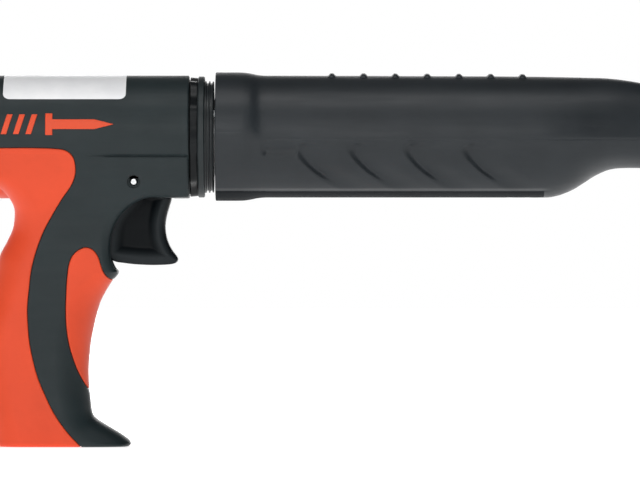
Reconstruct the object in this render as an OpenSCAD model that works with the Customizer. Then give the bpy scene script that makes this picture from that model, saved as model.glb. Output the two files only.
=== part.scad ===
// Powder-actuated nail gun: single shot, in-line barrel, pistol grip.
// Millimetres. Origin: centre of the muzzle's work face, on the bore axis.
// +X is the drive direction, +Z is up and +Y is the tool's left side.

/* [Housing] */
// Radius of the round upper housing
body_r = 27; // [26.8:0.1:27.4]
// Wall thickness of the two housing halves
wall = 3; // [2.4:0.2:3.4]
// Thickness of the orange overmoulded skins
skin_t = 1.7; // [1.2:0.1:1.8]
// Radius of the screw pockets in the left half
screw_pocket_r = 2.8; // [2.7:0.1:3]

/* [Receiver and barrel] */
// Outside radius of the receiver tube
receiver_r = 17; // [16.8:0.1:17]
// Radial gap of every running fit
run_gap = 0.05; // [0.03:0.01:0.08]
// Outside radius of the barrel
barrel_r = 12; // [11.5:0.1:12.2]
// Bore radius for the piston head
bore_r = 7.5; // [7:0.1:7.8]
// Bore radius of the muzzle, which guides the nail and its washer
muzzle_bore_r = 4; // [3.9:0.05:4.05]
// Radius of the chamber for the powder load
chamber_r = 2.95; // [2.85:0.05:3]

/* [Sleeve] */
// Radius of the sleeve's rear collar
collar_r = 28.5; // [28.3:0.1:28.8]
// Height of the small ridges along the sleeve's top
ridge_h = 1.1; // [0.6:0.1:1.2]
// Depth of the finger recesses
recess_d = 2.2; // [1.4:0.2:2.4]

/* [Trigger] */
// Half width of the trigger
trigger_w = 8.5; // [7:0.5:9]
// Radius of the trigger's pivot pin
trigger_pin_r = 1.7; // [1.5:0.1:1.8]

/* [Hidden] */
$fn = 64;
eps = 0.01;

// stations along the bore axis
cap_x = -354;
shell_rear_x = -341;
shell_front_x = -240;
plug_flange_x = -337;
receiver_rear_x = -334;
receiver_front_x = -121;
ring_front_x = -233.2;
buffer_front_x = -229.2;
lip_x = -228.5;
shoulder_x = -217.8;
breech_rear_x = -276;
breech_x = -256;
barrel_rear_x = -245;
barrel_front_x = -22;
nose_x = -19;
receiver_bore_r = 14;
slide_r = receiver_bore_r - run_gap;

// pivots as [x, z]
trigger_pivot = [-264, -19.8];
sear_pivot = [-286, -25];
sear_pin_r = 1.5;
sear_nose = [-283, -10.5];
sear_nose_r = 1.4;
sear_tail = [-277.75, -22.6];
arm_nose = [-276.35, -26.05];
arm_nose_r = 1.9;
contact_gap = 0.7;

// striker and piston
striker_collar_r = 11.7;
striker_front_x = sear_nose[0] - sear_nose_r - contact_gap;
striker_rear_x = -300;
pin_stem_r = 5;
pin_tip_r = 1.5;
piston_rear_x = -229;
piston_front_x = -207;
piston_tip_x = -73;
rod_r = 3.7;
stop_x = -129;
stop_r = 2.5;
buffer_bore_r = 4.3;
muzzle_stem_r = 8;
muzzle_rear_x = -70;

// the loading port, on the right side
port_x = [-190, -178];
port_r = 7;

// screws of the housing halves as [x, z, head's y, tip's y]
housing_bosses = [
  [-326, 20.6, 10.6, -9],
  [-262, 20.6, 10.6, -9],
  [-243.6, -21.8, 17, -14],
  [-303.5, -36, 12, -10],
  [-303, -76, 11.5, -10],
  [-300, -124, 12, -10]
];
screw_r = 1.5;
boss_r = 3.5;
// depth below the outside that ribs and bosses reach to
fill_inset = 1.2;
cap_screw_r = 1.6;
cap_screw_circle = 21.5;
cap_screw_angles = [35, 90, 145];

// Lower body and handle. Each station is a level:
// [z, rear x, front x, half width, rear corner, front corner, squareness]
// The last value is the share of the half width that the corners take.
levels = [
  [-136, -326, -268, 17.5, 15, 14, 0.86],
  [-134.5, -326.6, -265.6, 18.3, 16, 15, 0.9],
  [-130.7, -327.2, -269.5, 18.3, 17, 15, 0.92],
  [-126, -327.8, -277.6, 18.1, 19, 15, 0.95],
  [-122.5, -328.3, -282.5, 17.9, 20, 15, 0.97],
  [-109, -330.6, -284.2, 17.2, 21, 16, 0.98],
  [-94.6, -332.2, -283.9, 16.9, 22, 17, 0.98],
  [-87.6, -332.2, -283, 16.8, 22, 17, 0.98],
  [-73, -328, -279.4, 16.5, 21, 16, 0.98],
  [-63.4, -325.4, -274.6, 16.3, 20, 14, 0.96],
  [-59.6, -324.5, -272.6, 16.3, 20, 10, 0.9],
  [-57.4, -324, -273.2, 16.3, 20, 6, 0.8],
  [-52.4, -323.4, -274.6, 16.3, 20, 5, 0.7],
  [-45.3, -319.8, -274.4, 16.4, 18, 5, 0.65],
  [-40, -317.5, -273.2, 16.8, 16, 4.5, 0.6],
  [-33, -316.7, -268.8, 17.8, 15, 4, 0.55],
  [-30.4, -317.1, -266, 18.5, 15, 4, 0.5],
  [-28, -318.2, -262, 19.2, 16, 3.5, 0.45],
  [-26.9, -318.9, -257, 19.6, 16, 3, 0.4],
  [-26.8, -319, -240.2, 19.6, 16, 1.5, 0.3],
  [-25, -320, -240, 20.9, 16, 1.5, 0.25],
  [-22.2, -323.6, -240, 22.4, 17, 1.5, 0.2],
  [-21, -331, -240, 22.8, 17, 1.5, 0.2],
  [-20.5, -353, -240, 23, 8, 1.5, 0.18],
  [-18, -353.9, -240, 23.7, 3, 1.5, 0.15],
  [-12, -354, -240, 24.9, 2, 1.5, 0.12],
  [-8.8, -354, -240, 25.45, 2, 1.5, 0.1],
  [-4, -354, -240, 24.6, 2, 1.5, 0.1]
];

// Outline of the orange skin over the rear, in side view
rear_patch = [
  [-360, -5.5], [-297, -5.5], [-293, -6.4], [-290.4, -9], [-289.4, -13],
  [-289.4, -17], [-291.2, -21.5], [-295.4, -27.5], [-299.2, -33.7],
  [-303.2, -41], [-306.3, -48.8], [-308.8, -58], [-309.9, -66.9],
  [-310.6, -75], [-310.4, -82.1], [-309.7, -90], [-308.1, -98.1],
  [-305.9, -106], [-302.7, -113.5], [-299.6, -120], [-295.7, -126.1],
  [-291.8, -131], [-287.5, -135.5], [-286, -140], [-360, -140]
];
// Outline of the orange skin on the finger side of the handle
front_patch = [
  [-262, -62.5], [-274.6, -62.5], [-277.2, -59.8], [-278.5, -56.1],
  [-279.2, -52.6], [-281.6, -49.4], [-284.8, -48.4], [-288.4, -49.7],
  [-291, -52], [-292.4, -55], [-293.4, -62], [-293.8, -69.5],
  [-294, -76], [-293.8, -82.3], [-292.8, -90], [-291.1, -96.4],
  [-288.4, -103.6], [-284.8, -110], [-283, -112.8], [-262, -112.8]
];

// Sleeve stations: [x, top z, bottom z, half width]
sleeve_rings = [
  [-228.5, 28.2, -28.2, 28.2], [-228.1, 28.5, -28.5, 28.5],
  [-218, 28.5, -28.5, 28.5], [-214, 28.1, -28.1, 28.1],
  [-210.5, 27.4, -27.4, 27.4], [-207.5, 27, -27, 27],
  [-95, 26.6, -26.9, 26.8], [-86, 26.5, -26.9, 26.7],
  [-82.7, 26.4, -26.7, 26.5], [-79.5, 26.4, -26.1, 26.2],
  [-76.5, 26.3, -25.4, 25.9], [-71.3, 26.2, -23.3, 25.2],
  [-66.6, 26.1, -20.3, 24.4], [-61.9, 26, -17.3, 23.5],
  [-56.5, 25.8, -14.7, 22.6], [-53, 25.5, -14, 21.9],
  [-49, 25, -13.7, 21.1], [-46, 24.6, -13.7, 20.4],
  [-41.8, 23.8, -13.7, 19.5], [-37, 22.6, -13.7, 18.5],
  [-32, 21, -13.7, 17.4], [-27, 18.9, -13.7, 16.2],
  [-22.5, 16.4, -13.8, 14.9], [-19.6, 14.6, -13.6, 14],
  [-19, 14, -13.2, 13.5]
];
ridge_x = [for (k = [0 : 6]) -177.4 + 13.96 * k];
recess_x = [-192.7, -169.4, -145.2, -119.7];

// ---------- shared geometry ----------

// cylinder along X from x0 to x1
module xcyl(r, x0, x1) {
  translate([x0, 0, 0]) rotate([0, 90, 0]) cylinder(r = r, h = x1 - x0);
}

module xtube(ro, ri, x0, x1) {
  difference() {
    xcyl(ro, x0, x1);
    xcyl(ri, x0 - 1, x1 + 1);
  }
}

// cylinder along Y through [x, z], from y0 to y1
module ycyl(r, at, y0, y1) {
  translate([at[0], y1, at[1]]) rotate([90, 0, 0]) cylinder(r = r, h = y1 - y0);
}

// solid of revolution about X from [x, radius] points
module turned(points) {
  rotate([0, 90, 0]) rotate_extrude()
    polygon([for (p = points) [p[1], p[0]]]);
}

// [x, z] outline extruded along Y from y0 to y1
module plate(points, y0, y1) {
  translate([0, y1, 0]) rotate([90, 0, 0]) linear_extrude(y1 - y0) polygon(points);
}

// box from its low corner to its high corner
module span(a, b) {
  translate(a) cube([b[0] - a[0], b[1] - a[1], b[2] - a[2]]);
}

// straight link between two pivots, as seen from the side
module link(a, b, ra, rb, y0, y1) {
  d = b - a;
  n = [-d[1], d[0]] / norm(d);
  ycyl(ra, a, y0, y1);
  ycyl(rb, b, y0, y1);
  plate([a + n * ra, a - n * ra, b - n * rb, b + n * rb], y0, y1);
}

// closed skin over rings of points; each ring turns left as seen from its end
module skin(rings) {
  m = len(rings[0]);
  n = len(rings);
  polyhedron(
    points = [for (ring = rings) each ring],
    faces = concat(
      [[for (j = [0 : m - 1]) j]],
      [[for (j = [m - 1 : -1 : 0]) (n - 1) * m + j]],
      [for (i = [0 : n - 2], j = [0 : m - 1]) [i * m + j, (i + 1) * m + j, (i + 1) * m + (j + 1) % m]],
      [for (i = [0 : n - 2], j = [0 : m - 1]) [i * m + j, (i + 1) * m + (j + 1) % m, i * m + (j + 1) % m]]
    )
  );
}

// coil spring about X
coil_steps = 18;
coil_sides = 6;
module coil(r, wire, x0, x1, turns) {
  n = coil_steps * turns;
  skin([for (i = [0 : n]) let (
    a = 360 * i / coil_steps,
    x = x0 + wire + (x1 - x0 - 2 * wire) * i / n
  ) [for (k = [0 : coil_sides - 1]) let (
    b = 360 * k / coil_sides,
    q = r + wire * sin(b)
  ) [x + wire * cos(b), q * cos(a), q * sin(a)]]]);
}

// rounded outline of one level of the lower body, moved inwards by inset
corner_steps = 5;
function bend(cx, cy, rx, ry, start) = [
  for (k = [0 : corner_steps]) let (a = start + 90 * k / corner_steps)
    [cx + rx * cos(a), cy + ry * sin(a)]
];
function level_ring(s, inset) = let (
  z = s[0],
  w = s[3] - inset,
  rear = s[1] + inset,
  front = s[2] - inset,
  rr = max(s[4] - inset, 0.8),
  rf = max(s[5] - inset, 0.8),
  ry = max(s[6] * s[3] - inset, 0.8),
  outline = concat(
    bend(front - rf, w - ry, rf, ry, 0),
    bend(rear + rr, w - ry, rr, ry, 90),
    bend(rear + rr, ry - w, rr, ry, 180),
    bend(front - rf, ry - w, rf, ry, 270)
  )
) [for (p = outline) [p[0], p[1], z]];

module lower_body(inset, low = -140, high = 0) {
  floor_z = inset == 0 ? low : max(low, -134);
  skin([for (s = levels) if (s[0] >= floor_z && s[0] <= high) level_ring(s, inset)]);
}

// the whole outside of the housing, moved inwards by inset
module body_outside(inset) {
  union() {
    xcyl(body_r - inset, shell_rear_x, shell_front_x);
    intersection() {
      lower_body(inset);
      span([shell_rear_x, -40, -140], [shell_front_x, 40, 0]);
    }
  }
}

// space inside the two halves
module body_inside() {
  xcyl(body_r - wall, shell_rear_x - 1, shell_front_x - wall);
  intersection() {
    lower_body(wall);
    span([shell_rear_x + wall, -40, -140], [shell_front_x - wall, 40, -6]);
  }
}

module half_space(side) {
  if (side < 0) span([-360, -40, -140], [-230, 0, 40]);
  else span([-360, 0, -140], [-230, 40, 40]);
}

// the volumes that the two overmoulded skins replace
module rear_zone() {
  difference() {
    plate(rear_patch, -40, 40);
    xcyl(body_r - skin_t, -360, -230);
    lower_body(skin_t);
  }
}

module front_zone() {
  difference() {
    plate(front_patch, -40, 40);
    lower_body(skin_t, -123, -45);
  }
}

// ---------- housing ----------

module shell_half(side) {
  intersection() {
    half_space(side);
    difference() {
      union() {
        difference() {
          body_outside(0);
          body_inside();
        }
        intersection() {
          union() {
            // cradles that carry the receiver tube
            for (x = [-331, -309, -254])
              xtube(body_r - wall + 0.6, receiver_r, x, x + 3);
            for (b = housing_bosses)
              ycyl(boss_r, [b[0], b[1]], b[3] - 8, b[2] + 8);
            // seats of the trigger pin and of the lever pin
            for (s = [-1, 1]) {
              ycyl(4, trigger_pivot, min(s * 9.2, s * 30), max(s * 9.2, s * 30));
              ycyl(3.6, sear_pivot, min(s * 4, s * 30), max(s * 4, s * 30));
            }
          }
          body_outside(fill_inset);
        }
      }
      rear_zone();
      front_zone();
      // opening that the trigger travels in
      span([-284, -9.2, -57], [-247.2, 9.2, -17.4]);
      span([-287, -9.2, -57], [-283.9, 9.2, -31]);
      // receiver, rear plug and pins
      xcyl(receiver_r, -342, -230);
      ycyl(trigger_pin_r, trigger_pivot, -30, 30);
      for (s = [-1, 1])
        ycyl(2.7, trigger_pivot, min(s * 21.5, s * 30), max(s * 21.5, s * 30));
      ycyl(sear_pin_r, sear_pivot, -14, 14);
      for (b = housing_bosses) {
        ycyl(screw_r, [b[0], b[1]], b[3], b[2] + 1);
        ycyl(screw_pocket_r, [b[0], b[1]], b[2], 40);
      }
      // blind holes for the end cap's screws
      for (a = cap_screw_angles)
        rotate([a, 0, 0]) translate([0, cap_screw_circle, 0])
          xcyl(cap_screw_r, shell_rear_x - 1, shell_rear_x + 6);
    }
  }
}

module housing_right() {
  color("#3a4043") shell_half(-1);
}

module housing_left() {
  color("#3a4043") shell_half(1);
}

module rear_skin(side) {
  color("#f0653f")
  intersection() {
    half_space(side);
    body_outside(0);
    rear_zone();
  }
}

module front_skin(side) {
  color("#f0653f")
  intersection() {
    half_space(side);
    lower_body(0, -123, -45);
    front_zone();
  }
}

module rear_grip_right() {
  rear_skin(-1);
}

module rear_grip_left() {
  rear_skin(1);
}

module front_grip_right() {
  front_skin(-1);
}

module front_grip_left() {
  front_skin(1);
}

module end_cap() {
  color("#33383b")
  difference() {
    intersection() {
      turned([
        [cap_x, 0], [cap_x, 20], [cap_x + 1.2, 23.6], [cap_x + 3.6, 26],
        [cap_x + 6.5, body_r], [shell_rear_x, body_r], [shell_rear_x, 0]
      ]);
      span([-360, -40, -20.6], [-330, 40, 40]);
    }
    xcyl(18, cap_x + 4, shell_rear_x + 1);
    for (a = cap_screw_angles)
      rotate([a, 0, 0]) translate([0, cap_screw_circle, 0]) {
        xcyl(cap_screw_r, cap_x - 1, shell_rear_x + 1);
        xcyl(screw_pocket_r, cap_x - 1, cap_x + 7);
      }
  }
}

// cross recess of a screw, opening towards -X
module drive_recess(x) {
  for (a = [0, 90])
    rotate([a, 0, 0]) span([x - 1, -1.7, -0.35], [x + 1.1, 1.7, 0.35]);
}

module end_cap_screws() {
  color("#8d9194")
  for (a = cap_screw_angles)
    rotate([a, 0, 0]) translate([0, cap_screw_circle, 0])
      difference() {
        turned([
          [cap_x + 4.6, 0], [cap_x + 4.6, 2.2], [cap_x + 5.1, 2.6],
          [cap_x + 7, 2.6], [cap_x + 7, cap_screw_r],
          [shell_rear_x + 5, cap_screw_r], [shell_rear_x + 6, 0]
        ]);
        drive_recess(cap_x + 4.6);
      }
}

module housing_screws() {
  color("#8d9194")
  for (b = housing_bosses)
    translate([b[0], b[2], b[1]]) rotate([0, 0, -90])
      difference() {
        turned([
          [-2.4, 0], [-2.4, 2.1], [-2, 2.6], [0, 2.6], [0, screw_r],
          [b[2] - b[3] - 1, screw_r], [b[2] - b[3], 0]
        ]);
        drive_recess(-2.4);
      }
}

// blank white sticker over the top of the housing
module top_label() {
  color("#dcdbdd")
  intersection() {
    xtube(body_r + 0.15, body_r, -321.2, -267.5);
    union() {
      span([-321.2, -30, 19], [-267.5, 30, 40]);
      span([-318.2, -30, 16.3], [-270.5, 30, 40]);
      for (x = [-318.2, -270.5])
        ycyl(3, [x, 19.3], -30, 30);
    }
  }
}

// raised pictogram: a nail lying along the bore, and three bars behind it
module pictogram() {
  plate([[-322, 0.8], [-319.4, 0.8], [-316.6, 9.6], [-319.2, 9.6]], -40, 40);
  plate([[-316.6, 0.8], [-314, 0.8], [-311.2, 9.6], [-313.8, 9.6]], -40, 40);
  plate([[-311.2, 0.8], [-308.6, 0.8], [-305.8, 9.6], [-308.4, 9.6]], -40, 40);
  plate([
    [-302.5, 0.4], [-299.3, 0.4], [-299.3, 3], [-281, 3], [-272.4, 5.2],
    [-281, 7.4], [-299.3, 7.4], [-299.3, 10], [-302.5, 10]
  ], -40, 40);
}

module badge(side) {
  color("#f0653f")
  intersection() {
    xtube(body_r + 0.5, body_r, -324, -270);
    pictogram();
    half_space(side);
  }
}

module badge_right() {
  badge(-1);
}

module badge_left() {
  badge(1);
}

module front_ring() {
  color("#454a4e")
  turned([
    [shell_front_x, receiver_r], [shell_front_x, 25.8], [-236.9, 25.8],
    [-236.7, 26.6], [-233.6, 26.6], [ring_front_x, 26.2],
    [ring_front_x, receiver_r]
  ]);
}

module buffer_ring() {
  color("#2c3033")
  turned([
    [ring_front_x, receiver_r], [ring_front_x, 24.6], [-232.2, 24.6],
    [-232, 24.2], [-231.6, 24.2], [-231.4, 24.6], [-230.4, 24.6],
    [-230.2, 24.2], [-229.8, 24.2], [-229.6, 24.6],
    [buffer_front_x, 24.4], [buffer_front_x, receiver_r]
  ]);
}

// ---------- receiver and what is fixed in it ----------

module receiver_tube() {
  color("#6f7478")
  difference() {
    xtube(receiver_r, receiver_bore_r, receiver_rear_x, receiver_front_x);
    // loading port
    for (x = port_x)
      ycyl(port_r, [x, 0], -30, 0);
    span([port_x[0], -30, -port_r], [port_x[1], 0, port_r]);
    // slot for the lever, and the flat above the trigger
    span([-293, -3.4, -30], [-280, 3.4, 0]);
    span([-270, -20, -30], [-258, 20, -15.8]);
    // hole for the stop pin
    translate([stop_x, 0, -30]) cylinder(r = stop_r, h = 30);
    breech_pin_holes();
  }
}

module breech_pin_holes() {
  for (s = [-1, 1])
    ycyl(1.5, [-268, 0], min(s * 9, s * 20), max(s * 9, s * 20));
}

module front_bushing() {
  color("#a5814a")
  difference() {
    xtube(receiver_bore_r, barrel_r + run_gap, -141, receiver_front_x);
    translate([stop_x, 0, -30]) cylinder(r = stop_r, h = 30);
  }
}

module breech_block() {
  color("#5d6266")
  difference() {
    turned([
      [breech_rear_x, 0], [breech_rear_x, receiver_bore_r],
      [-262, receiver_bore_r], [-262, 9], [breech_x, 9], [breech_x, 0]
    ]);
    xcyl(pin_stem_r + run_gap, breech_rear_x - 1, -263);
    xcyl(pin_tip_r + run_gap, -264, breech_x + 1);
    breech_pin_holes();
    span([-264.4, 4.6, -2], [breech_x + 1, 6.4, 2]);
  }
}

module breech_pins() {
  color("#9a9ea1")
  for (s = [-1, 1])
    ycyl(1.5, [-268, 0], min(s * 9, s * 16.8), max(s * 9, s * 16.8));
}

module extractor() {
  color("#8a8e91")
  difference() {
    union() {
      span([-264.4, 4.6, -2], [-247.4, 6.4, 2]);
      span([-249, 4.1, -2], [-247.4, 6.4, 2]);
    }
    ycyl(0.8, [-252, 0], 3, 7);
  }
}

module rear_plug() {
  color("#6a6f73")
  difference() {
    turned([
      [plug_flange_x, 0], [plug_flange_x, receiver_r - 0.4],
      [plug_flange_x + 0.4, receiver_r], [receiver_rear_x, receiver_r],
      [receiver_rear_x, receiver_bore_r], [-318, receiver_bore_r], [-318, 0]
    ]);
    xcyl(4 + run_gap, -332, -317);
    // six-sided key recess
    translate([plug_flange_x - 1, 0, 0]) rotate([0, 90, 0])
      cylinder(r = 5.2, h = 3.4, $fn = 6);
  }
}

module main_spring() {
  color("#a9adb0") coil(7.2, 1.1, -318, striker_rear_x, 5);
}

module return_spring() {
  color("#a9adb0") coil(11.6, 0.9, -262, barrel_rear_x, 3);
}

module trigger_pin() {
  color("#d5d8da")
  ycyl(trigger_pin_r, trigger_pivot, -21.9, 21.9);
}

module sear_pin() {
  color("#b4b8ba")
  ycyl(sear_pin_r, sear_pivot, -14, 14);
}

module trigger_spring() {
  color("#a9adb0")
  translate([trigger_pivot[0], 0, trigger_pivot[1]]) rotate([0, 0, 90])
    coil(2.5, 0.4, -3.6, 3.6, 5);
}

module stop_pin() {
  color("#b4b8ba")
  translate([stop_x, 0, -receiver_r + 0.3]) cylinder(r = stop_r, h = receiver_r - 5.3);
}

module stop_pin_clip() {
  color("#83878a")
  difference() {
    xtube(receiver_r + 1.2, receiver_r, stop_x - 3, stop_x + 3);
    rotate([45, 0, 0]) span([stop_x - 4, 0, 0], [stop_x + 4, 30, 30]);
  }
}

// ---------- firing mechanism ----------

trigger_outline = [
  [-262, -18.6], [-256, -19.4], [-250.6, -22.6], [-248.6, -25],
  [-247.9, -26.8], [-248.7, -30], [-249.9, -34.4], [-250.5, -38.7],
  [-250.3, -43], [-249.1, -47], [-247.2, -50.2], [-245.4, -52.6],
  [-245, -53.8], [-245.6, -55], [-247.2, -55.8], [-254, -56.2],
  [-262, -56], [-268, -55.4], [-273, -54.6], [-275.6, -52.8], [-276.6, -49],
  [-276.4, -42], [-275, -35.4], [-271.4, -30], [-268.6, -26.6], [-267.4, -24],
  [-267.2, -21]
];

module trigger() {
  color("#22272a")
  difference() {
    union() {
      intersection() {
        plate(trigger_outline, -trigger_w, trigger_w);
        // long edges of the finger face are rounded off
        rotate([0, 0, 90])
          plate([
            [-trigger_w, 0], [-trigger_w, -53], [-trigger_w + 1.6, -57],
            [trigger_w - 1.6, -57], [trigger_w, -53], [trigger_w, 0]
          ], 240, 280);
      }
      ycyl(3.4, trigger_pivot, -trigger_w, trigger_w);
      link(trigger_pivot + [-3, -6], arm_nose, 2.6, arm_nose_r, -3, 3);
    }
    ycyl(trigger_pin_r + run_gap, trigger_pivot, -20, 20);
    // gap for the torsion spring and the receiver
    span([-268.4, -4, -24.4], [-259.4, 4, -10]);
    // shallow side panels
    for (s = [-1, 1])
      plate([[-268, -31], [-255, -31], [-254.4, -44], [-256, -51], [-268.4, -50.4]],
        min(s * 7.9, s * 10), max(s * 7.9, s * 10));
  }
}

module sear_lever() {
  color("#7b8083")
  difference() {
    union() {
      link(sear_pivot, sear_nose, 2.6, sear_nose_r, -2.4, 2.4);
      link(sear_pivot, sear_tail, 2.6, 1.5, -2.4, 2.4);
    }
    ycyl(sear_pin_r + run_gap, sear_pivot, -5, 5);
  }
}

module firing_pin() {
  color("#9b9fa2")
  turned([
    [-316, 0], [-316, 3.6], [-315.4, 4], [striker_rear_x, 4],
    [striker_rear_x, pin_stem_r], [-266, pin_stem_r], [-265, 3.6],
    [-264.6, pin_tip_r], [-257.2, pin_tip_r], [-256.4, 0.9], [-256.4, 0]
  ]);
}

module striker_collar() {
  color("#74797c")
  difference() {
    turned([
      [striker_rear_x, pin_stem_r], [striker_rear_x, 9.4],
      [striker_rear_x + 2, 9.4], [striker_rear_x + 2, striker_collar_r],
      [striker_front_x, striker_collar_r], [striker_front_x, pin_stem_r]
    ]);
    // flats that let air past
    for (s = [-1, 1])
      span([-302, min(s * 10, s * 14), -8], [-280, max(s * 10, s * 14), 8]);
  }
}

// ---------- barrel group ----------

module barrel() {
  color("#7d8286")
  difference() {
    turned([
      [barrel_rear_x, 0], [barrel_rear_x, slide_r - 0.5],
      [barrel_rear_x + 0.6, slide_r], [-237, slide_r], [-236.4, barrel_r],
      [barrel_front_x, barrel_r], [barrel_front_x, 0]
    ]);
    xcyl(chamber_r, barrel_rear_x - 1, -230 + eps);
    xcyl(bore_r, -230, -109);
    xcyl(buffer_bore_r, -110, muzzle_rear_x);
    xcyl(muzzle_stem_r, muzzle_rear_x, barrel_front_x + 1);
    // slot that the stop pin runs in
    for (x = [-204.3, -117.7])
      translate([x, 0, -20]) cylinder(r = stop_r + 0.4, h = 20);
    span([-204.3, -stop_r - 0.4, -20], [-117.7, stop_r + 0.4, 0]);
    // clearance for the extractor
    span([barrel_rear_x - 1, 3.8, -2.6], [-235.6, 7, 2.6]);
    for (x = [-99, -91])
      translate([x, 0, -13]) cylinder(r = 1.6, h = 3);
  }
}

module piston_buffer() {
  color("#2a2c2e") xtube(bore_r, buffer_bore_r, -115, -109);
}

module muzzle() {
  color("#8f9396")
  difference() {
    turned([
      [muzzle_rear_x, 0], [muzzle_rear_x, muzzle_stem_r],
      [barrel_front_x, muzzle_stem_r], [barrel_front_x, barrel_r],
      [-12, barrel_r], [-10.5, 10], [-0.8, 10], [0, 9.2], [0, 0]
    ]);
    xcyl(muzzle_bore_r, muzzle_rear_x - 1, 1);
  }
}

module muzzle_nut() {
  color("#6a6f73")
  difference() {
    intersection() {
      turned([
        [nose_x, 0], [nose_x, 15.4], [-14.2, 15.4], [-13.4, 14.6], [-13.4, 0]
      ]);
      translate([nose_x - 1, 0, 0]) rotate([0, 90, 0])
        cylinder(r = 15.9, h = 8, $fn = 8);
    }
    xcyl(barrel_r, -30, 1);
  }
}

module piston() {
  color("#a3a7aa")
  turned([
    [piston_rear_x, 0], [piston_rear_x, bore_r - 0.55],
    [piston_rear_x + 0.5, bore_r - run_gap], [-226, bore_r - run_gap],
    [-226, 6.2], [-224, 6.2], [-224, bore_r - run_gap], [-221.5, bore_r - run_gap],
    [-221.5, 6.2], [-219.5, 6.2], [-219.5, bore_r - run_gap],
    [piston_front_x - 2, bore_r - run_gap], [piston_front_x, 5.6],
    [piston_front_x, rod_r], [piston_tip_x - 0.6, rod_r],
    [piston_tip_x, rod_r - 0.6], [piston_tip_x, 0]
  ]);
}

module piston_rings() {
  color("#54585b")
  for (x = [-226, -221.5])
    xtube(bore_r - 0.02, 6.2, x + 0.05, x + 1.95);
}

module sleeve_bush() {
  color("#c8c3b4") xtube(24.4, receiver_r + run_gap, shoulder_x, -211.8);
}

module sleeve_pins() {
  color("#9a9ea1")
  for (x = [-99, -91])
    translate([x, 0, -24.6]) cylinder(r = 1.6, h = 13.6);
}

// one finger recess: deep at its rear edge, running out forwards
module finger_recess(x) {
  translate([x + 10.2, -body_r + recess_d, -11.4]) rotate([0, 0, -11])
    translate([0, -1, 0]) rotate([90, 0, 0]) cylinder(r = 10, h = 20);
}

ring_sides = 56;
module sleeve() {
  color("#3b3f42")
  difference() {
    union() {
      skin([for (s = sleeve_rings) let (
        zc = (s[1] + s[2]) / 2,
        h = (s[1] - s[2]) / 2
      ) [for (k = [0 : ring_sides - 1]) let (a = 360 * (k + 0.5) / ring_sides)
        [s[0], s[3] * cos(a), zc + h * sin(a)]]]);
      for (x = ridge_x)
        intersection() {
          xtube(body_r + ridge_h - 0.1, body_r - 2, x - 1.7, x + 1.7);
          span([x - 2, -7, 20], [x + 2, 7, 40]);
        }
    }
    xcyl(collar_r - 1.6, lip_x - 1, shoulder_x);
    xcyl(24.4, shoulder_x - 1, -108);
    xcyl(barrel_r, -109, 0);
    for (x = recess_x) {
      finger_recess(x);
      mirror([0, 1, 0]) finger_recess(x);
    }
    for (x = [-99, -91])
      translate([x, 0, -40]) cylinder(r = 1.6, h = 40);
  }
}

// Which sub-part to draw

housing_right();
housing_left();
rear_grip_right();
rear_grip_left();
front_grip_right();
front_grip_left();
end_cap();
end_cap_screws();
housing_screws();
top_label();
badge_right();
badge_left();
front_ring();
buffer_ring();
receiver_tube();
front_bushing();
breech_block();
breech_pins();
extractor();
rear_plug();
main_spring();
return_spring();
trigger_pin();
sear_pin();
trigger_spring();
stop_pin();
stop_pin_clip();
trigger();
sear_lever();
firing_pin();
striker_collar();
barrel();
piston_buffer();
muzzle();
muzzle_nut();
piston();
piston_rings();
sleeve();
sleeve_bush();
sleeve_pins();
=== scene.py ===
import math

import bpy
import numpy as np
from mathutils import Matrix, Vector


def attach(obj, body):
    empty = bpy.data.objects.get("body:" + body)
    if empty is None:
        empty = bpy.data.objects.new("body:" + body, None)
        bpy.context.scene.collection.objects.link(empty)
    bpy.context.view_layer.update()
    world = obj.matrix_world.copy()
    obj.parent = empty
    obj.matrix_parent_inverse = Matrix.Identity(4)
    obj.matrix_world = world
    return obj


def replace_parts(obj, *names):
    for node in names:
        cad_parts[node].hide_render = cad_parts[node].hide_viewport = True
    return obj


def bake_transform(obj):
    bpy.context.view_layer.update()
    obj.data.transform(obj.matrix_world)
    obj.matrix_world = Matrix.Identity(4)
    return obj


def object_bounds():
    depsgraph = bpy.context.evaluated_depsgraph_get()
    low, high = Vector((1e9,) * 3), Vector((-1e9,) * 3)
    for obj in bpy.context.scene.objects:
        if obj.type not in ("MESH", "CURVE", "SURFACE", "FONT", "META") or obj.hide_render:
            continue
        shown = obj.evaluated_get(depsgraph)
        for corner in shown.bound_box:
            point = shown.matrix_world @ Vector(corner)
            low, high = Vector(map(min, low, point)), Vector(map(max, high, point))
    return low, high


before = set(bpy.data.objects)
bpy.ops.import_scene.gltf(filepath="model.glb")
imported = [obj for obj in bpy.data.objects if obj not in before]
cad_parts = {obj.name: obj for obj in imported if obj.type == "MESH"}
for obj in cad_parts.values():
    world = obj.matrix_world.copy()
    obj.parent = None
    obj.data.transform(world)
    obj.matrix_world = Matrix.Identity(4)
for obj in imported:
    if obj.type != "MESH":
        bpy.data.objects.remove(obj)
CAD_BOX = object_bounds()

MM = 0.001

# ---------------------------------------------------------------- field maths


def smin(a, b, k):
    """Smaller of two distances, blended over k millimetres."""
    h = np.clip(0.5 + 0.5 * (b - a) / k, 0, 1)
    return b * (1 - h) + a * h - k * h * (1 - h)


def smax(a, b, k):
    return -smin(-a, -b, k)


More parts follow.
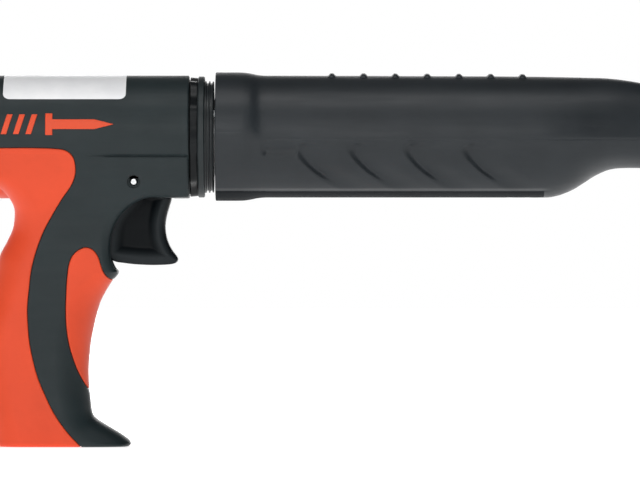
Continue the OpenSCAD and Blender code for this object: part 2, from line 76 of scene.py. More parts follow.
def spline(points, per=10, closed=True):
    """Catmull-Rom curve through 2D points; a point given twice is a corner."""
    p = np.array(points, float)
    n = len(p)
    out = []
    last = n if closed else n - 1
    for i in range(last):
        a, b, c, d = p[(i - 1) % n], p[i], p[(i + 1) % n], p[(i + 2) % n]
        if np.allclose(b, c):
            continue
        if not closed:
            a = p[max(i - 1, 0)]
            d = p[min(i + 2, n - 1)]
        if np.allclose(a, b):
            a = 2 * b - c
        if np.allclose(c, d):
            d = 2 * c - b
        # centripetal knots keep the curve from looping at uneven spacing
        t0 = 0.0
        t1 = t0 + max(np.linalg.norm(b - a), 1e-6) ** 0.5
        t2 = t1 + max(np.linalg.norm(c - b), 1e-6) ** 0.5
        t3 = t2 + max(np.linalg.norm(d - c), 1e-6) ** 0.5
        for t in np.linspace(t1, t2, per, endpoint=False):
            a1 = (t1 - t) / (t1 - t0) * a + (t - t0) / (t1 - t0) * b
            a2 = (t2 - t) / (t2 - t1) * b + (t - t1) / (t2 - t1) * c
            a3 = (t3 - t) / (t3 - t2) * c + (t - t2) / (t3 - t2) * d
            b1 = (t2 - t) / (t2 - t0) * a1 + (t - t0) / (t2 - t0) * a2
            b2 = (t3 - t) / (t3 - t1) * a2 + (t - t1) / (t3 - t1) * a3
            out.append((t2 - t) / (t2 - t1) * b1 + (t - t1) / (t2 - t1) * b2)
    if not closed:
        out.append(p[-1])
    return np.array(out)


class Outline:
    """Signed distance to a closed side-view outline, kept on a fine grid."""

    def __init__(self, points, step=0.3, margin=14.0):
        p = np.array(points, float)
        self.step = step
        self.low = p.min(0) - margin
        size = np.ceil((p.max(0) + margin - self.low) / step).astype(int) + 1
        x = self.low[0] + step * np.arange(size[0])
        z = self.low[1] + step * np.arange(size[1])
        gx, gz = np.meshgrid(x, z, indexing="ij")
        best = np.full(gx.shape, 1e9)
        odd = np.zeros(gx.shape, bool)
        for a, b in zip(p, np.roll(p, -1, axis=0)):
            e = b - a
            long = e @ e
            if long < 1e-12:
                continue
            t = np.clip(((gx - a[0]) * e[0] + (gz - a[1]) * e[1]) / long, 0, 1)
            dx, dz = gx - a[0] - t * e[0], gz - a[1] - t * e[1]
            best = np.minimum(best, dx * dx + dz * dz)
            if a[1] != b[1]:
                crosses = (a[1] > gz) != (b[1] > gz)
                odd ^= crosses & (gx < e[0] * (gz - a[1]) / e[1] + a[0])
        self.field = np.sqrt(best) * np.where(odd, -1.0, 1.0)

    def __call__(self, x, z):
        u = (x - self.low[0]) / self.step
        v = (z - self.low[1]) / self.step
        n, m = self.field.shape
        uc, vc = np.clip(u, 0, n - 1.001), np.clip(v, 0, m - 1.001)
        i, j = uc.astype(int), vc.astype(int)
        f, g = uc - i, vc - j
        q = self.field
        d = (q[i, j] * (1 - f) * (1 - g) + q[i + 1, j] * f * (1 - g)
             + q[i, j + 1] * (1 - f) * g + q[i + 1, j + 1] * f * g)
        return d + self.step * np.hypot(u - uc, v - vc)


def both_of(a, b, e):
    """Where distances a and b are both inside, with the edge between them rounded by e."""
    a, b = a + e, b + e
    return np.minimum(np.maximum(a, b), 0) + np.hypot(np.maximum(a, 0), np.maximum(b, 0)) - e


def extruded(s, y, half, edge):
    """Side-view distance s carried to |y| = half, with edges rounded by edge."""
    return both_of(s, np.abs(y) - half, edge)


# ------------------------------------------------------------ surface meshing

BLOCK = 8


def sample(f, low, high, h):
    """The field on a grid, worked out only in blocks that the surface is near."""
    size = [int(math.ceil((b - a) / h / BLOCK)) * BLOCK for a, b in zip(low, high)]
    nb = [s // BLOCK for s in size]
    centre = [low[k] + h * (BLOCK * np.arange(nb[k]) + (BLOCK - 1) / 2) for k in range(3)]
    cx, cy, cz = np.meshgrid(*centre, indexing="ij")
    coarse = f(cx, cy, cz)
    # half a block's diagonal, with room for fields steeper than a true distance
    reach = h * BLOCK * 0.87 * 1.35 + 2
    near = np.abs(coarse) < reach
    field = np.repeat(np.repeat(np.repeat(coarse, BLOCK, 0), BLOCK, 1), BLOCK, 2).astype(np.float64)
    bi, bj, bk = np.nonzero(near)
    o = np.arange(BLOCK)
    for start in range(0, len(bi), 1500):
        s = slice(start, start + 1500)
        i = (bi[s, None] * BLOCK + o)[:, :, None, None]
        j = (bj[s, None] * BLOCK + o)[:, None, :, None]
        k = (bk[s, None] * BLOCK + o)[:, None, None, :]
        i, j, k = np.broadcast_arrays(i, j, k)
        field[i, j, k] = f(low[0] + h * i, low[1] + h * j, low[2] + h * k)
    return field


def nets(field, low, h):
    """Surface nets: one vertex in each cell that the surface crosses."""
    inside = field < 0
    count = np.zeros(tuple(n - 1 for n in field.shape), np.int8)
    n, m, l = count.shape
    for a, b, c in np.ndindex(2, 2, 2):
        count += inside[a:a + n, b:b + m, c:c + l]
    cells = np.argwhere((count > 0) & (count < 8))
    number = np.full(count.shape, -1, np.int64)
    number[tuple(cells.T)] = np.arange(len(cells))
    total = np.zeros((len(cells), 3))
    hits = np.zeros(len(cells))
    for axis in range(3):
        u, v = [k for k in range(3) if k != axis]
        for a, b in np.ndindex(2, 2):
            p = cells.copy()
            p[:, u] += a
            p[:, v] += b
            q = p.copy()
            q[:, axis] += 1
            fp, fq = field[tuple(p.T)], field[tuple(q.T)]
            cross = (fp < 0) != (fq < 0)
            t = np.where(cross, fp / np.where(cross, fp - fq, 1), 0)
            at = p.astype(float)
            at[:, axis] += t
            total[cross] += at[cross]
            hits[cross] += 1
    points = low + h * total / hits[:, None]
    quads = []
    for axis in range(3):
        u, v = [(1, 2), (2, 0), (0, 1)][axis]
        lower = [slice(None)] * 3
        upper = [slice(None)] * 3
        lower[axis], upper[axis] = slice(0, -1), slice(1, None)
        a, b = inside[tuple(lower)], inside[tuple(upper)]
        edge = np.argwhere(a != b)
        fits = (edge[:, u] > 0) & (edge[:, v] > 0)
        fits &= (edge[:, u] < field.shape[u] - 1) & (edge[:, v] < field.shape[v] - 1)
        edge = edge[fits]
        ring = []
        for du, dv in ((-1, -1), (0, -1), (0, 0), (-1, 0)):
            c = edge.copy()
            c[:, u] += du
            c[:, v] += dv
            ring.append(number[tuple(c.T)])
        ring = np.stack(ring, 1)
        out = a[tuple(edge.T)]
        ring[~out] = ring[~out][:, ::-1]
        quads.append(ring)
    return points, np.concatenate(quads)


def slope(f, p, e):
    """Gradient of the field f at points p, over steps of e."""
    g = np.empty_like(p)
    for k in range(3):
        a, b = p.copy(), p.copy()
        a[:, k] += e
        b[:, k] -= e
        g[:, k] = (f(*a.T) - f(*b.T)) / (2 * e)
    return g


def outward(f, p, e):
    """Unit normals of the field's surface at points p."""
    g = slope(f, p, e)
    return g / np.maximum(np.linalg.norm(g, axis=1, keepdims=True), 1e-9)


def skin_mesh(name, f, low, high, h, flip=False):
    """A closed mesh of the surface f = 0, in metres, with exact normals."""
    low = np.array(low, float) - 2 * h
    high = np.array(high, float) + 2 * h
    points, quads = nets(sample(f, low, high, h), low, h)
    for _ in range(3):
        d = f(*points.T)
        g = slope(f, points, 0.04)
        long = np.maximum((g * g).sum(1), 0.09)
        move = -(d / long)[:, None] * g
        size = np.linalg.norm(move, axis=1, keepdims=True)
        points = points + move * np.minimum(1, 0.35 * h / np.maximum(size, 1e-9))
    normal = outward(f, points, 0.12)
    if flip:
        points = points * [1, -1, 1]
        normal = normal * [1, -1, 1]
    return quad_mesh(name, points, quads, normal)


def quad_mesh(name, points, quads, normal=None):
    """A mesh object from points in millimetres and rings of corners."""
    c = points[quads]
    six = np.einsum("ij,ij->i", c[:, 0], np.cross(c[:, 1], c[:, 2]))
    six = six + np.einsum("ij,ij->i", c[:, 0], np.cross(c[:, 2], c[:, 3]))
    if six.sum() < 0:
        quads = quads[:, ::-1]
    mesh = bpy.data.meshes.new(name)
    side = quads.shape[1]
    mesh.vertices.add(len(points))
    mesh.vertices.foreach_set("co", (points * MM).astype(np.float32).ravel())
    mesh.loops.add(quads.size)
    mesh.loops.foreach_set("vertex_index", quads.astype(np.int32).ravel())
    mesh.polygons.add(len(quads))
    mesh.polygons.foreach_set("loop_start", np.arange(0, quads.size, side, dtype=np.int32))
    mesh.polygons.foreach_set("use_smooth", np.ones(len(quads), bool))
    mesh.update(calc_edges=True)
    mesh.validate(verbose=False)
    if normal is not None and len(mesh.vertices) == len(points):
        mesh.normals_split_custom_set_from_vertices(normal.tolist())
    obj = bpy.data.objects.new(name, mesh)
    bpy.context.scene.collection.objects.link(obj)
    return obj


def thin_out(obj, f, limit, flip=False):
    """Collapses flat stretches to at most limit triangles, then sets exact normals."""
    triangles = sum(len(p.vertices) - 2 for p in obj.data.polygons)
    if triangles > limit:
        mod = obj.modifiers.new("thin", "DECIMATE")
        mod.ratio = limit / triangles
        graph = bpy.context.evaluated_depsgraph_get()
        mesh = bpy.data.meshes.new_from_object(obj.evaluated_get(graph))
        obj.modifiers.clear()
        old = obj.data
        obj.data = mesh
        bpy.data.meshes.remove(old)
        mesh.name = obj.name
    mesh = obj.data
    p = np.empty(len(mesh.vertices) * 3)
    mesh.vertices.foreach_get("co", p)
    p = p.reshape(-1, 3) / MM
    if flip:
        p = p * [1, -1, 1]
    normal = outward(f, p, 0.1)
    if flip:
        normal = normal * [1, -1, 1]
    mesh.polygons.foreach_set("use_smooth", np.ones(len(mesh.polygons), bool))
    mesh.normals_split_custom_set_from_vertices(normal.tolist())
    return obj


def carve(name, f, low, high, h, limit=150000, flip=False):
    """One moulded piece from its distance field."""
    obj = skin_mesh(name, f, low, high, h, flip)
    return thin_out(obj, f, limit, flip)


def filleted(profile, steps=4):
    """[x, r, fillet] corners to a dense line of points with their outward normals."""
    p = np.array([c[:2] for c in profile], float)
    radius = [c[2] if len(c) > 2 else 0.0 for c in profile]
    n = len(p)
    points, normals = [], []
    for i in range(n):
        a, b, c = p[i - 1], p[i], p[(i + 1) % n]
        u, v = a - b, c - b
        lu, lv = np.linalg.norm(u), np.linalg.norm(v)
        u, v = u / max(lu, 1e-9), v / max(lv, 1e-9)
        # the solid lies to the left of the line, so its outside is to the right
        nu, nv = np.array([-u[1], u[0]]), np.array([v[1], -v[0]])
        turn = math.acos(float(np.clip(-(u @ v), -1, 1)))
        if radius[i] <= 0 or turn < 0.02:
            if turn < 0.35:
                m = (nu + nv) / np.linalg.norm(nu + nv)
                points.append(b)
                normals.append(m)
            else:
                points += [b, b]
                normals += [nu, nv]
            continue
        reach = min(radius[i] * math.tan(turn / 2), 0.49 * lu, 0.49 * lv)
        r = reach / math.tan(turn / 2)
        start, end = b + u * reach, b + v * reach
        bow = 1 if u[0] * v[1] - u[1] * v[0] < 0 else -1
        centre = start - nu * r * bow
        a0 = math.atan2(*(start - centre)[::-1])
        a1 = math.atan2(*(end - centre)[::-1])
        d = (a1 - a0 + math.pi) % (2 * math.pi) - math.pi
        for t in np.linspace(0, 1, steps + 1):
            q = np.array([math.cos(a0 + d * t), math.sin(a0 + d * t)])
            points.append(centre + r * q)
            normals.append(q * bow)
    return np.array(points), np.array(normals)


def lathe(name, profile, around=144, steps=4, shape=None):
    """A turned piece about X. profile runs so that the solid is on its left.
    shape(angle, x, r) may return another radius for each point."""
    pts, nrm = filleted(profile, steps)
    a = np.arange(around) * 2 * math.pi / around
    x = np.repeat(pts[:, 0][:, None], around, 1)
    r = np.repeat(pts[:, 1][:, None], around, 1)
    angle = np.repeat(a[None, :], len(pts), 0)
    if shape is not None:
        r = shape(angle, x, r)
    v = np.stack([x, r * np.cos(angle), r * np.sin(angle)], -1).reshape(-1, 3)
    lean = (np.roll(r, -1, 1) - np.roll(r, 1, 1)) / (2 * a[1]) / np.maximum(r, 1e-6)
    lean = np.where(nrm[:, 1][:, None] > 0.05, lean, 0) / np.sqrt(1 + lean ** 2)
    stay = np.sqrt(1 - lean ** 2)
    n = np.stack([
        np.repeat(nrm[:, 0][:, None], around, 1),
        nrm[:, 1][:, None] * (stay * np.cos(angle) + lean * np.sin(angle)),
        nrm[:, 1][:, None] * (stay * np.sin(angle) - lean * np.cos(angle)),
    ], -1).reshape(-1, 3)
    m = len(pts)
    quads = []
    for i in range(m):
        j = (i + 1) % m
        if np.allclose(pts[i], pts[j], atol=1e-6):
            continue
        if pts[i, 1] < 1e-6 and pts[j, 1] < 1e-6:
            continue
        k = np.arange(around)
        l = (k + 1) % around
        quads.append(np.stack([i * around + k, j * around + k, j * around + l, i * around + l], 1))
    obj = quad_mesh(name, v, np.concatenate(quads))
    mesh = obj.data
    # weld the doubled corners and the poles, keeping each corner's own normal
    mesh.normals_split_custom_set([tuple(n[l.vertex_index]) for l in mesh.loops])
    return obj


# ------------------------------------------------------------------- finishes

def surface(name, colour, rough, metal=0.0, specular=0.5, coat=0.0, coat_rough=0.3):
    m = bpy.data.materials.new(name)
    m.use_nodes = True
    nt = m.node_tree
    s = nt.nodes["Principled BSDF"]
    s.inputs["Base Color"].default_value = (*colour, 1)
    s.inputs["Roughness"].default_value = rough
    s.inputs["Metallic"].default_value = metal
    s.inputs["Specular IOR Level"].default_value = specular
    s.inputs["Coat Weight"].default_value = coat
    s.inputs["Coat Roughness"].default_value = coat_rough
    return m, nt, s


def node(nt, kind, **values):
    n = nt.nodes.new("ShaderNode" + kind)
    for key, value in values.items():
        if key in n.inputs:
            n.inputs[key].default_value = value
        else:
            setattr(n, key, value)
    return n


def noise(nt, scale, detail=3.0, rough=0.5, stretch=(1, 1, 1)):
    """Noise in the object's own metres; stretch multiplies each axis."""
    at = node(nt, "TexCoord")
    move = node(nt, "Mapping")
    move.inputs["Scale"].default_value = stretch
    tex = node(nt, "TexNoise")
    tex.inputs["Scale"].default_value = scale
    tex.inputs["Detail"].default_value = detail
    tex.inputs["Roughness"].default_value = rough
    nt.links.new(at.outputs["Object"], move.inputs["Vector"])
    nt.links.new(move.outputs["Vector"], tex.inputs["Vector"])
    return tex.outputs["Fac"]


def ramp(nt, fac, low, high, a=0.3, b=0.7):
    r = node(nt, "MapRange")
    r.inputs["From Min"].default_value = a
    r.inputs["From Max"].default_value = b
    r.inputs["To Min"].default_value = low
    r.inputs["To Max"].default_value = high
    nt.links.new(fac, r.inputs["Value"])
    return r.outputs["Result"]


def mix(nt, fac, a, b, blend="MIX"):
    n = node(nt, "Mix")
    n.data_type = "RGBA"
    n.blend_type = blend
    for key, value in ((0, fac), (6, a), (7, b)):
        if hasattr(value, "is_linked") or isinstance(value, bpy.types.NodeSocket):
            nt.links.new(value, n.inputs[key])
        elif key == 0:
            n.inputs[key].default_value = value
        else:
            n.inputs[key].default_value = (*value, 1)
    return n.outputs[2]


def bumps(nt, shader, layers):
    """layers of (height, distance in metres, strength), the finest last."""
    last = None
    for height, distance, strength in layers:
        b = node(nt, "Bump")
        b.inputs["Distance"].default_value = distance
        b.inputs["Strength"].default_value = strength
        nt.links.new(height, b.inputs["Height"])
        if last:
            nt.links.new(last, b.inputs["Normal"])
        last = b.outputs["Normal"]
    nt.links.new(last, shader.inputs["Normal"])


def worn_edges(nt, low=0.53, high=0.62):
    """1 along sharp outer edges, 0 elsewhere."""
    g = node(nt, "NewGeometry")
    return ramp(nt, g.outputs["Pointiness"], 0, 1, low, high)


def times(nt, a, b):
    n = node(nt, "Math", operation="MULTIPLY")
    for k, v in enumerate((a, b)):
        if isinstance(v, bpy.types.NodeSocket):
            nt.links.new(v, n.inputs[k])
        else:
            n.inputs[k].default_value = v
    return n.outputs[0]


def polymer(name, colour, rough=0.5, specular=0.5, grain=0.00005, scuffs=0.5, edge=None, blotch=0.12):
    """Moulded polymer: spark-eroded grain, faint flow marks, rubbed edges, hairline scuffs."""
    m, nt, s = surface(name, colour, rough, specular=specular)
    broad = noise(nt, 45, 4, 0.55)
    fine = noise(nt, 2600, 2, 0.6)
    flow = noise(nt, 30, 3, 0.5, (1, 3, 9))
    hair = noise(nt, 260, 4, 0.7, (0.25, 4, 9))
    light = tuple(min(1, c * (1 + blotch) + 0.002) for c in colour)
    dark = tuple(c * (1 - blotch) for c in colour)
    base = mix(nt, ramp(nt, broad, 0, 1), dark, light)
    rubbed = times(nt, worn_edges(nt), ramp(nt, noise(nt, 180, 3, 0.6), 0, 1, 0.35, 0.65))
    base = mix(nt, times(nt, rubbed, 0.45), base, edge or tuple(min(1, c * 1.6 + 0.012) for c in colour))
    marks = ramp(nt, hair, 0, scuffs, 0.62, 0.78)
    base = mix(nt, times(nt, marks, 0.35), base, tuple(min(1, c * 1.35 + 0.01) for c in colour))
    nt.links.new(base, s.inputs["Base Color"])
    r = node(nt, "Math", operation="ADD")
    nt.links.new(ramp(nt, flow, rough - 0.05, rough + 0.05), r.inputs[0])
    nt.links.new(times(nt, marks, -0.08), r.inputs[1])
    r2 = node(nt, "Math", operation="SUBTRACT")
    nt.links.new(r.outputs[0], r2.inputs[0])
    nt.links.new(times(nt, rubbed, 0.12), r2.inputs[1])
    nt.links.new(r2.outputs[0], s.inputs["Roughness"])
    bumps(nt, s, [(flow, 0.0003, 0.12), (fine, grain, 0.5)])
    return m


def elastomer(name, colour, rough=0.5, edge=None):
    """Soft overmoulded rubber: silky, with a sheen, faint mottling and handling marks."""
    m, nt, s = surface(name, colour, rough, specular=0.28)
    s.inputs["Sheen Weight"].default_value = 0.06
    s.inputs["Sheen Roughness"].default_value = 0.4
    broad = noise(nt, 60, 4, 0.55)
    fine = noise(nt, 1900, 2, 0.6)
    base = mix(nt, ramp(nt, broad, 0, 1), tuple(c * 0.93 for c in colour),
               tuple(min(1, c * 1.05 + 0.004) for c in colour))
    grime = times(nt, ramp(nt, noise(nt, 120, 5, 0.65), 0, 1, 0.5, 0.75), 0.18)
    base = mix(nt, grime, base, tuple(c * 0.62 for c in colour))
    hair = ramp(nt, noise(nt, 240, 4, 0.7, (0.4, 4, 5)), 0, 1, 0.64, 0.8)
    base = mix(nt, times(nt, hair, 0.2), base, tuple(min(1, c * 1.2 + 0.03) for c in colour))
    nt.links.new(base, s.inputs["Base Color"])
    nt.links.new(ramp(nt, broad, rough - 0.05, rough + 0.06), s.inputs["Roughness"])
    bumps(nt, s, [(noise(nt, 90, 2, 0.5), 0.0003, 0.1), (fine, 0.00004, 0.5)])
    return m


def steel(name, colour, rough, along=None, tint=None, scratches=0.5, specular=0.5, metal=1.0):
    """Machined steel: tool marks across axis along, smudged roughness, brighter edges."""
    m, nt, s = surface(name, colour, rough, metal=metal, specular=specular)
    lines = {None: (1, 1, 1), "x": (1, 0.02, 0.02), "y": (0.02, 1, 0.02), "z": (0.02, 0.02, 1)}[along]
    tool = noise(nt, 3200 if along else 900, 3, 0.7, lines)
    cloud = noise(nt, 70, 4, 0.6)
    hair = noise(nt, 350, 4, 0.75, (5, 0.5, 3))
    base = mix(nt, ramp(nt, cloud, 0, 1), tuple(c * 0.85 for c in colour),
               tint or tuple(min(1, c * 1.12) for c in colour))
    base = mix(nt, times(nt, ramp(nt, tool, 0, 1), 0.25), base, tuple(c * 0.7 for c in colour))
    base = mix(nt, times(nt, worn_edges(nt), 0.5), base, tuple(min(1, c * 1.5 + 0.05) for c in colour))
    nt.links.new(base, s.inputs["Base Color"])
    r = node(nt, "Math", operation="ADD")
    nt.links.new(ramp(nt, cloud, rough - 0.06, rough + 0.08), r.inputs[0])
    nt.links.new(times(nt, ramp(nt, hair, 0, scratches, 0.6, 0.8), 0.2), r.inputs[1])
    nt.links.new(r.outputs[0], s.inputs["Roughness"])
    bumps(nt, s, [(cloud, 0.0002, 0.05), (tool, 0.00004, 0.35)])
    return m


BLACK = (0.0052, 0.0125, 0.0145)
finish = {
    "housing": polymer("housing_polymer", BLACK, 0.5, 0.33),
    "cap": polymer("cap_polymer", (0.007, 0.0125, 0.014), 0.47, 0.36),
    "sleeve": polymer("sleeve_polymer", (0.0075, 0.0112, 0.0145), 0.44, 0.38),
    # darker than the sleeve: painted shade for the downward-facing runner faces; its roughness is the
    # runner's matte finish
    "runner": polymer("runner_polymer", (0.005, 0.007, 0.009), 0.68, 0.1, grain=0.00008),
    "trigger": polymer("trigger_polymer", (0.02, 0.0245, 0.027), 0.4, 0.1),
    "orange": elastomer("orange_elastomer", (0.66, 0.06, 0.0155)),
    "badge": elastomer("orange_badge", (0.68, 0.066, 0.017), 0.42),
    # the front ring's black is darkened below the housing's: painted shade for the valleys between its lobes
    # and the housing
    "ring": polymer("ring_metal", (0.002, 0.0035, 0.0045), 0.36, 0.2),
    "neck": polymer("buffer_rubber", (0.008, 0.012, 0.014), 0.4, 0.4),
    "receiver": steel("receiver_steel", (0.16, 0.165, 0.17), 0.3, "x"),
    "barrel": steel("barrel_steel", (0.3, 0.31, 0.32), 0.27, "x"),
    "muzzle": steel("muzzle_steel", (0.36, 0.36, 0.35), 0.3, "x"),
    "piston": steel("piston_steel", (0.45, 0.455, 0.46), 0.22, "x"),
    "dark": steel("dark_steel", (0.09, 0.092, 0.096), 0.35),
    "bright": steel("bright_steel", (0.62, 0.63, 0.64), 0.2),
    "spring": steel("spring_steel", (0.34, 0.34, 0.35), 0.3),
    "zinc": steel("zinc_screws", (0.5, 0.5, 0.48), 0.3, tint=(0.5, 0.47, 0.4)),
    "bronze": steel("bronze", (0.55, 0.36, 0.17), 0.32, "x", tint=(0.48, 0.3, 0.13)),
    "bush": polymer("bush_polymer", (0.5, 0.47, 0.4), 0.45),
}


def painted_scoop_shade(m, inner, a, b):
    """Painted shade in the sides' scoops: nearer the middle than a metres the colour is inner, a dark
    stand-in for the shroud's shade, blending back from a to b metres out to the plain colour on the rims.
    """
    nt = m.node_tree
    s = nt.nodes["Principled BSDF"]
    split = node(nt, "SeparateXYZ")
    nt.links.new(node(nt, "TexCoord").outputs["Object"], split.inputs[0])
    out = node(nt, "Math", operation="ABSOLUTE")
    nt.links.new(split.outputs["Y"], out.inputs[0])
    base = s.inputs["Base Color"].links[0].from_socket
    nt.links.new(mix(nt, ramp(nt, out.outputs[0], 0, 1, a, b), inner, base), s.inputs["Base Color"])


# painted shade: the trigger's scooped sides are darkened where the shroud shades them
painted_scoop_shade(finish["trigger"], (0.0006, 0.0018, 0.0028), 0.0062, 0.0088)


def paint(obj, key):
    obj.data.materials.clear()
    obj.data.materials.append(finish[key])


# ------------------------------------------------------------- lower body form


def graph(points, per=10):
    """A smooth curve through (key, value) points, as a lookup."""
    c = spline(points, per, closed=False)
    c = c[np.argsort(c[:, 0])]
    return lambda v: np.interp(v, c[:, 0], c[:, 1])


def step(v, a, b):
    t = np.clip((v - a) / (b - a), 0, 1)
    return t * t * (3 - 2 * t)


REAR_X, FRONT_X, BASE_Z = -341, -240, -136
BODY_R = 27
TUBE_ROOM = 17.03
BARREL_ROOM = 24.08
TRIGGER_HALF = 8.45
PARTING = 0.04

# side view of the handle and of the flat lower part of the housing
SIDE = Outline(spline([
    (-240, 5), (-240, 5), (-240, -26.6), (-240, -26.6), (-248.2, -26.8), (-258.3, -26.9),
    (-264, -29.2), (-268.4, -32.6), (-271.9, -37.4), (-274.1, -43.1), (-274.7, -49.7),
    (-274.2, -54), (-272.6, -57.6), (-271.4, -59), (-271.6, -60.2), (-274.2, -63.4), (-277.1, -68.2),
    (-279.4, -73), (-283, -87.6), (-283.9, -94.6), (-284.4, -103), (-284.2, -109.1),
    (-283.6, -116), (-282.7, -121.6), (-281.5, -123.4), (-269.8, -130.9), (-266.8, -133.2),
    (-265.7, -135), (-265.6, -138), (-265.6, -160), (-265.6, -160), (-326.5, -160),
    (-326.5, -160), (-326.7, -134.5), (-327.8, -126), (-330.6, -109), (-332.2, -94.6),
    (-332.2, -87.6), (-330.8, -79.5), (-328, -72), (-325.4, -62), (-323.4, -52.4),
    (-319.8, -45.3), (-317.5, -40), (-316.7, -33), (-317.1, -30.4), (-319.8, -25.5),
    (-323.4, -22.2), (-331, -20.9), (-345, -20.5), (-360, -20.5), (-360, -20.5), (-360, 5),
    (-360, 5)]))
# half width and edge rounding by height
HALF = graph([
    (-150, 18.1), (-136, 18.1), (-126, 18), (-109, 17.2), (-94.6, 16.9), (-73, 16.5),
    (-52, 16.3), (-45, 16.4), (-40, 16.8), (-33, 17.9), (-26.8, 20.6), (-22, 22.7),
    (-18, 24.2), (-14, 25.2), (-10.5, 25.75), (-8.5, 25.7), (-7.2, 25), (-5, 24), (6, 23.5)])
FRONT_EDGE = graph([
    (-150, 13), (-136, 13.5), (-122, 14), (-70, 14), (-62, 9), (-56, 5), (-36, 4.5), (-30, 3.2),
    (-20, 3), (10, 3)])
REAR_EDGE = graph([(-150, 13.5), (-70, 14.5), (-45, 14), (-34, 12), (-26, 9), (-20, 7), (10, 7)])
REAR_PATCH = Outline(spline([
    (-360, -5.5), (-360, -5.5), (-297, -5.5), (-293, -6.5), (-290.4, -9), (-289.3, -13),
    (-289.5, -17.2), (-291.2, -21.5), (-295.4, -27.5), (-299.2, -33.7), (-303.2, -41),
    (-306.3, -48.8), (-308.8, -58), (-309.9, -66.9), (-310.6, -75), (-310.4, -82.1),
    (-309.7, -90), (-308.1, -98.1), (-305.9, -106), (-302.7, -113.5), (-299.6, -120),
    (-295.7, -126.1), (-291.8, -131), (-287.5, -135.5), (-284, -140), (-284, -140),
    (-360, -140), (-360, -140)]), step=0.25, margin=8)
FRONT_PATCH = Outline(spline([
    (-262, -62.3), (-262, -62.3), (-274.4, -62.3), (-277, -60), (-278.5, -56.3),
    (-279.7, -52.6), (-282, -49.6), (-285, -48.5), (-288.4, -49.7), (-291, -52.2),
    (-292.4, -55.4), (-293.4, -62), (-293.8, -69.5), (-294, -76), (-293.8, -82.3),
    (-292.8, -90), (-291.1, -96.4), (-288.4, -103.6), (-284.8, -110.2), (-283, -112.8),
    (-262, -112.8), (-262, -112.8)]), step=0.25, margin=8)
TRIGGER_SPOT = (-264.0, -19.8)
BOSSES = [(-326, 20.6, 10.6), (-262, 20.6, 10.6), (-243.6, -21.8, 17),
          (-303.5, -36, 12), (-303, -76, 11.5), (-300, -124, 12)]


def box_distance(x, y, z, a, b):
    qx = np.abs(x - (a[0] + b[0]) / 2) - (b[0] - a[0]) / 2
    qy = np.abs(y - (a[1] + b[1]) / 2) - (b[1] - a[1]) / 2
    qz = np.abs(z - (a[2] + b[2]) / 2) - (b[2] - a[2]) / 2
    out = np.sqrt(np.maximum(qx, 0) ** 2 + np.maximum(qy, 0) ** 2 + np.maximum(qz, 0) ** 2)
    return out + np.minimum(np.maximum(np.maximum(qx, qy), qz), 0)


def drum(x, y, z, r, x0, x1, e=0.0):
    """A cylinder about X with edges rounded by e."""
    return both_of(np.hypot(y, z) - r, np.maximum(x0 - x, x - x1), e)


def lower(x, y, z):
    s = SIDE(x, z)
    rear = step(x, -296, -306)
    edge = FRONT_EDGE(z) * (1 - rear) + REAR_EDGE(z) * rear
    # the lower front corner is nearly sharp
    corner = step(x, -252, -244) * step(z, -32, -27)
    edge = edge * (1 - corner) + 1.2 * corner
    return extruded(s, y, HALF(z), edge)


def body(x, y, z):
    """The whole outside of the two halves, skins included."""
    low = smax(lower(x, y, z), BASE_Z - z, 2.2)
    low = smax(low, np.maximum(REAR_X - x, x - FRONT_X), 0.6)
    d = smin(drum(x, y, z, BODY_R, REAR_X, FRONT_X, 0.6), low, 0.55)
    # a small V groove where the round barrel housing meets the flat side
    groove = 0.7 * (np.abs(z + 8.6) - 0.8 + 25.75 - np.abs(y))
    return smax(d, -groove - 1.2 * step(x, -270, -300), 0.3)


def shell(x, y, z, left):
    """One housing half, with the room that its skins, trigger, pins and tube need."""
    d0 = body(x, y, z)
    d = d0
    # recess that each skin is moulded into, with a shadow line around it
    for patch in (REAR_PATCH, FRONT_PATCH):
        d = smax(d, -np.maximum(patch(x, z) - PARTING, -(d0 + 1.75)), 0.35)
    d = np.maximum(d, -np.maximum(d0 + 3, box_distance(x, y, z, (-300, -40, -60), (-243, 40, -17))))
    d = smax(d, -box_distance(x, y, z, (-284, -9.2, -58), (-247.2, 9.2, -17.4)), 0.8)
    d = np.maximum(d, -box_distance(x, y, z, (-287, -9.2, -57), (-283.9, 9.2, -31)))
    d = np.maximum(d, TUBE_ROOM - np.hypot(y, z))
    px, pz = TRIGGER_SPOT
    pin = np.hypot(x - px, z - pz)
    d = smax(d, -np.maximum(pin - 2.7, 21.5 - np.abs(y)), 0.5)
    d = np.maximum(d, 1.74 - pin)
    if left:
        for bx, bz, head in BOSSES:
            d = smax(d, -np.maximum(np.hypot(x - bx, z - bz) - 2.8, head - y), 0.5)
            d = np.maximum(d, -np.maximum(np.hypot(x - bx, z - bz) - 1.55, head - 6 - y))
        d = smax(d, PARTING - y, 0.6)
    else:
        d = smax(d, y + PARTING, 0.6)
    return d


def skin_of(patch, cut):
    """One side's skin inside patch; the left one has the screw pockets cut."""
    def f(x, y, z):
        d0 = body(x, y, z)
        d = smax(d0, patch(x, z) + PARTING, 0.9)
        d = smax(d, -(d0 + 1.7), 0.3)
        if cut:
            for bx, bz, head in BOSSES:
                d = smax(d, 2.8 - np.hypot(x - bx, z - bz), 0.5)
        d = np.maximum(d, PARTING - y)
        return np.maximum(d, BARREL_ROOM - np.hypot(y, z))
    return f


def put(obj, key, body_name, *nodes, slot=None):
    """Paints a piece and hands it over in place of its CAD nodes."""
    paint(obj, key)
    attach(obj, body_name)
    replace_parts(obj, *nodes)
    return obj


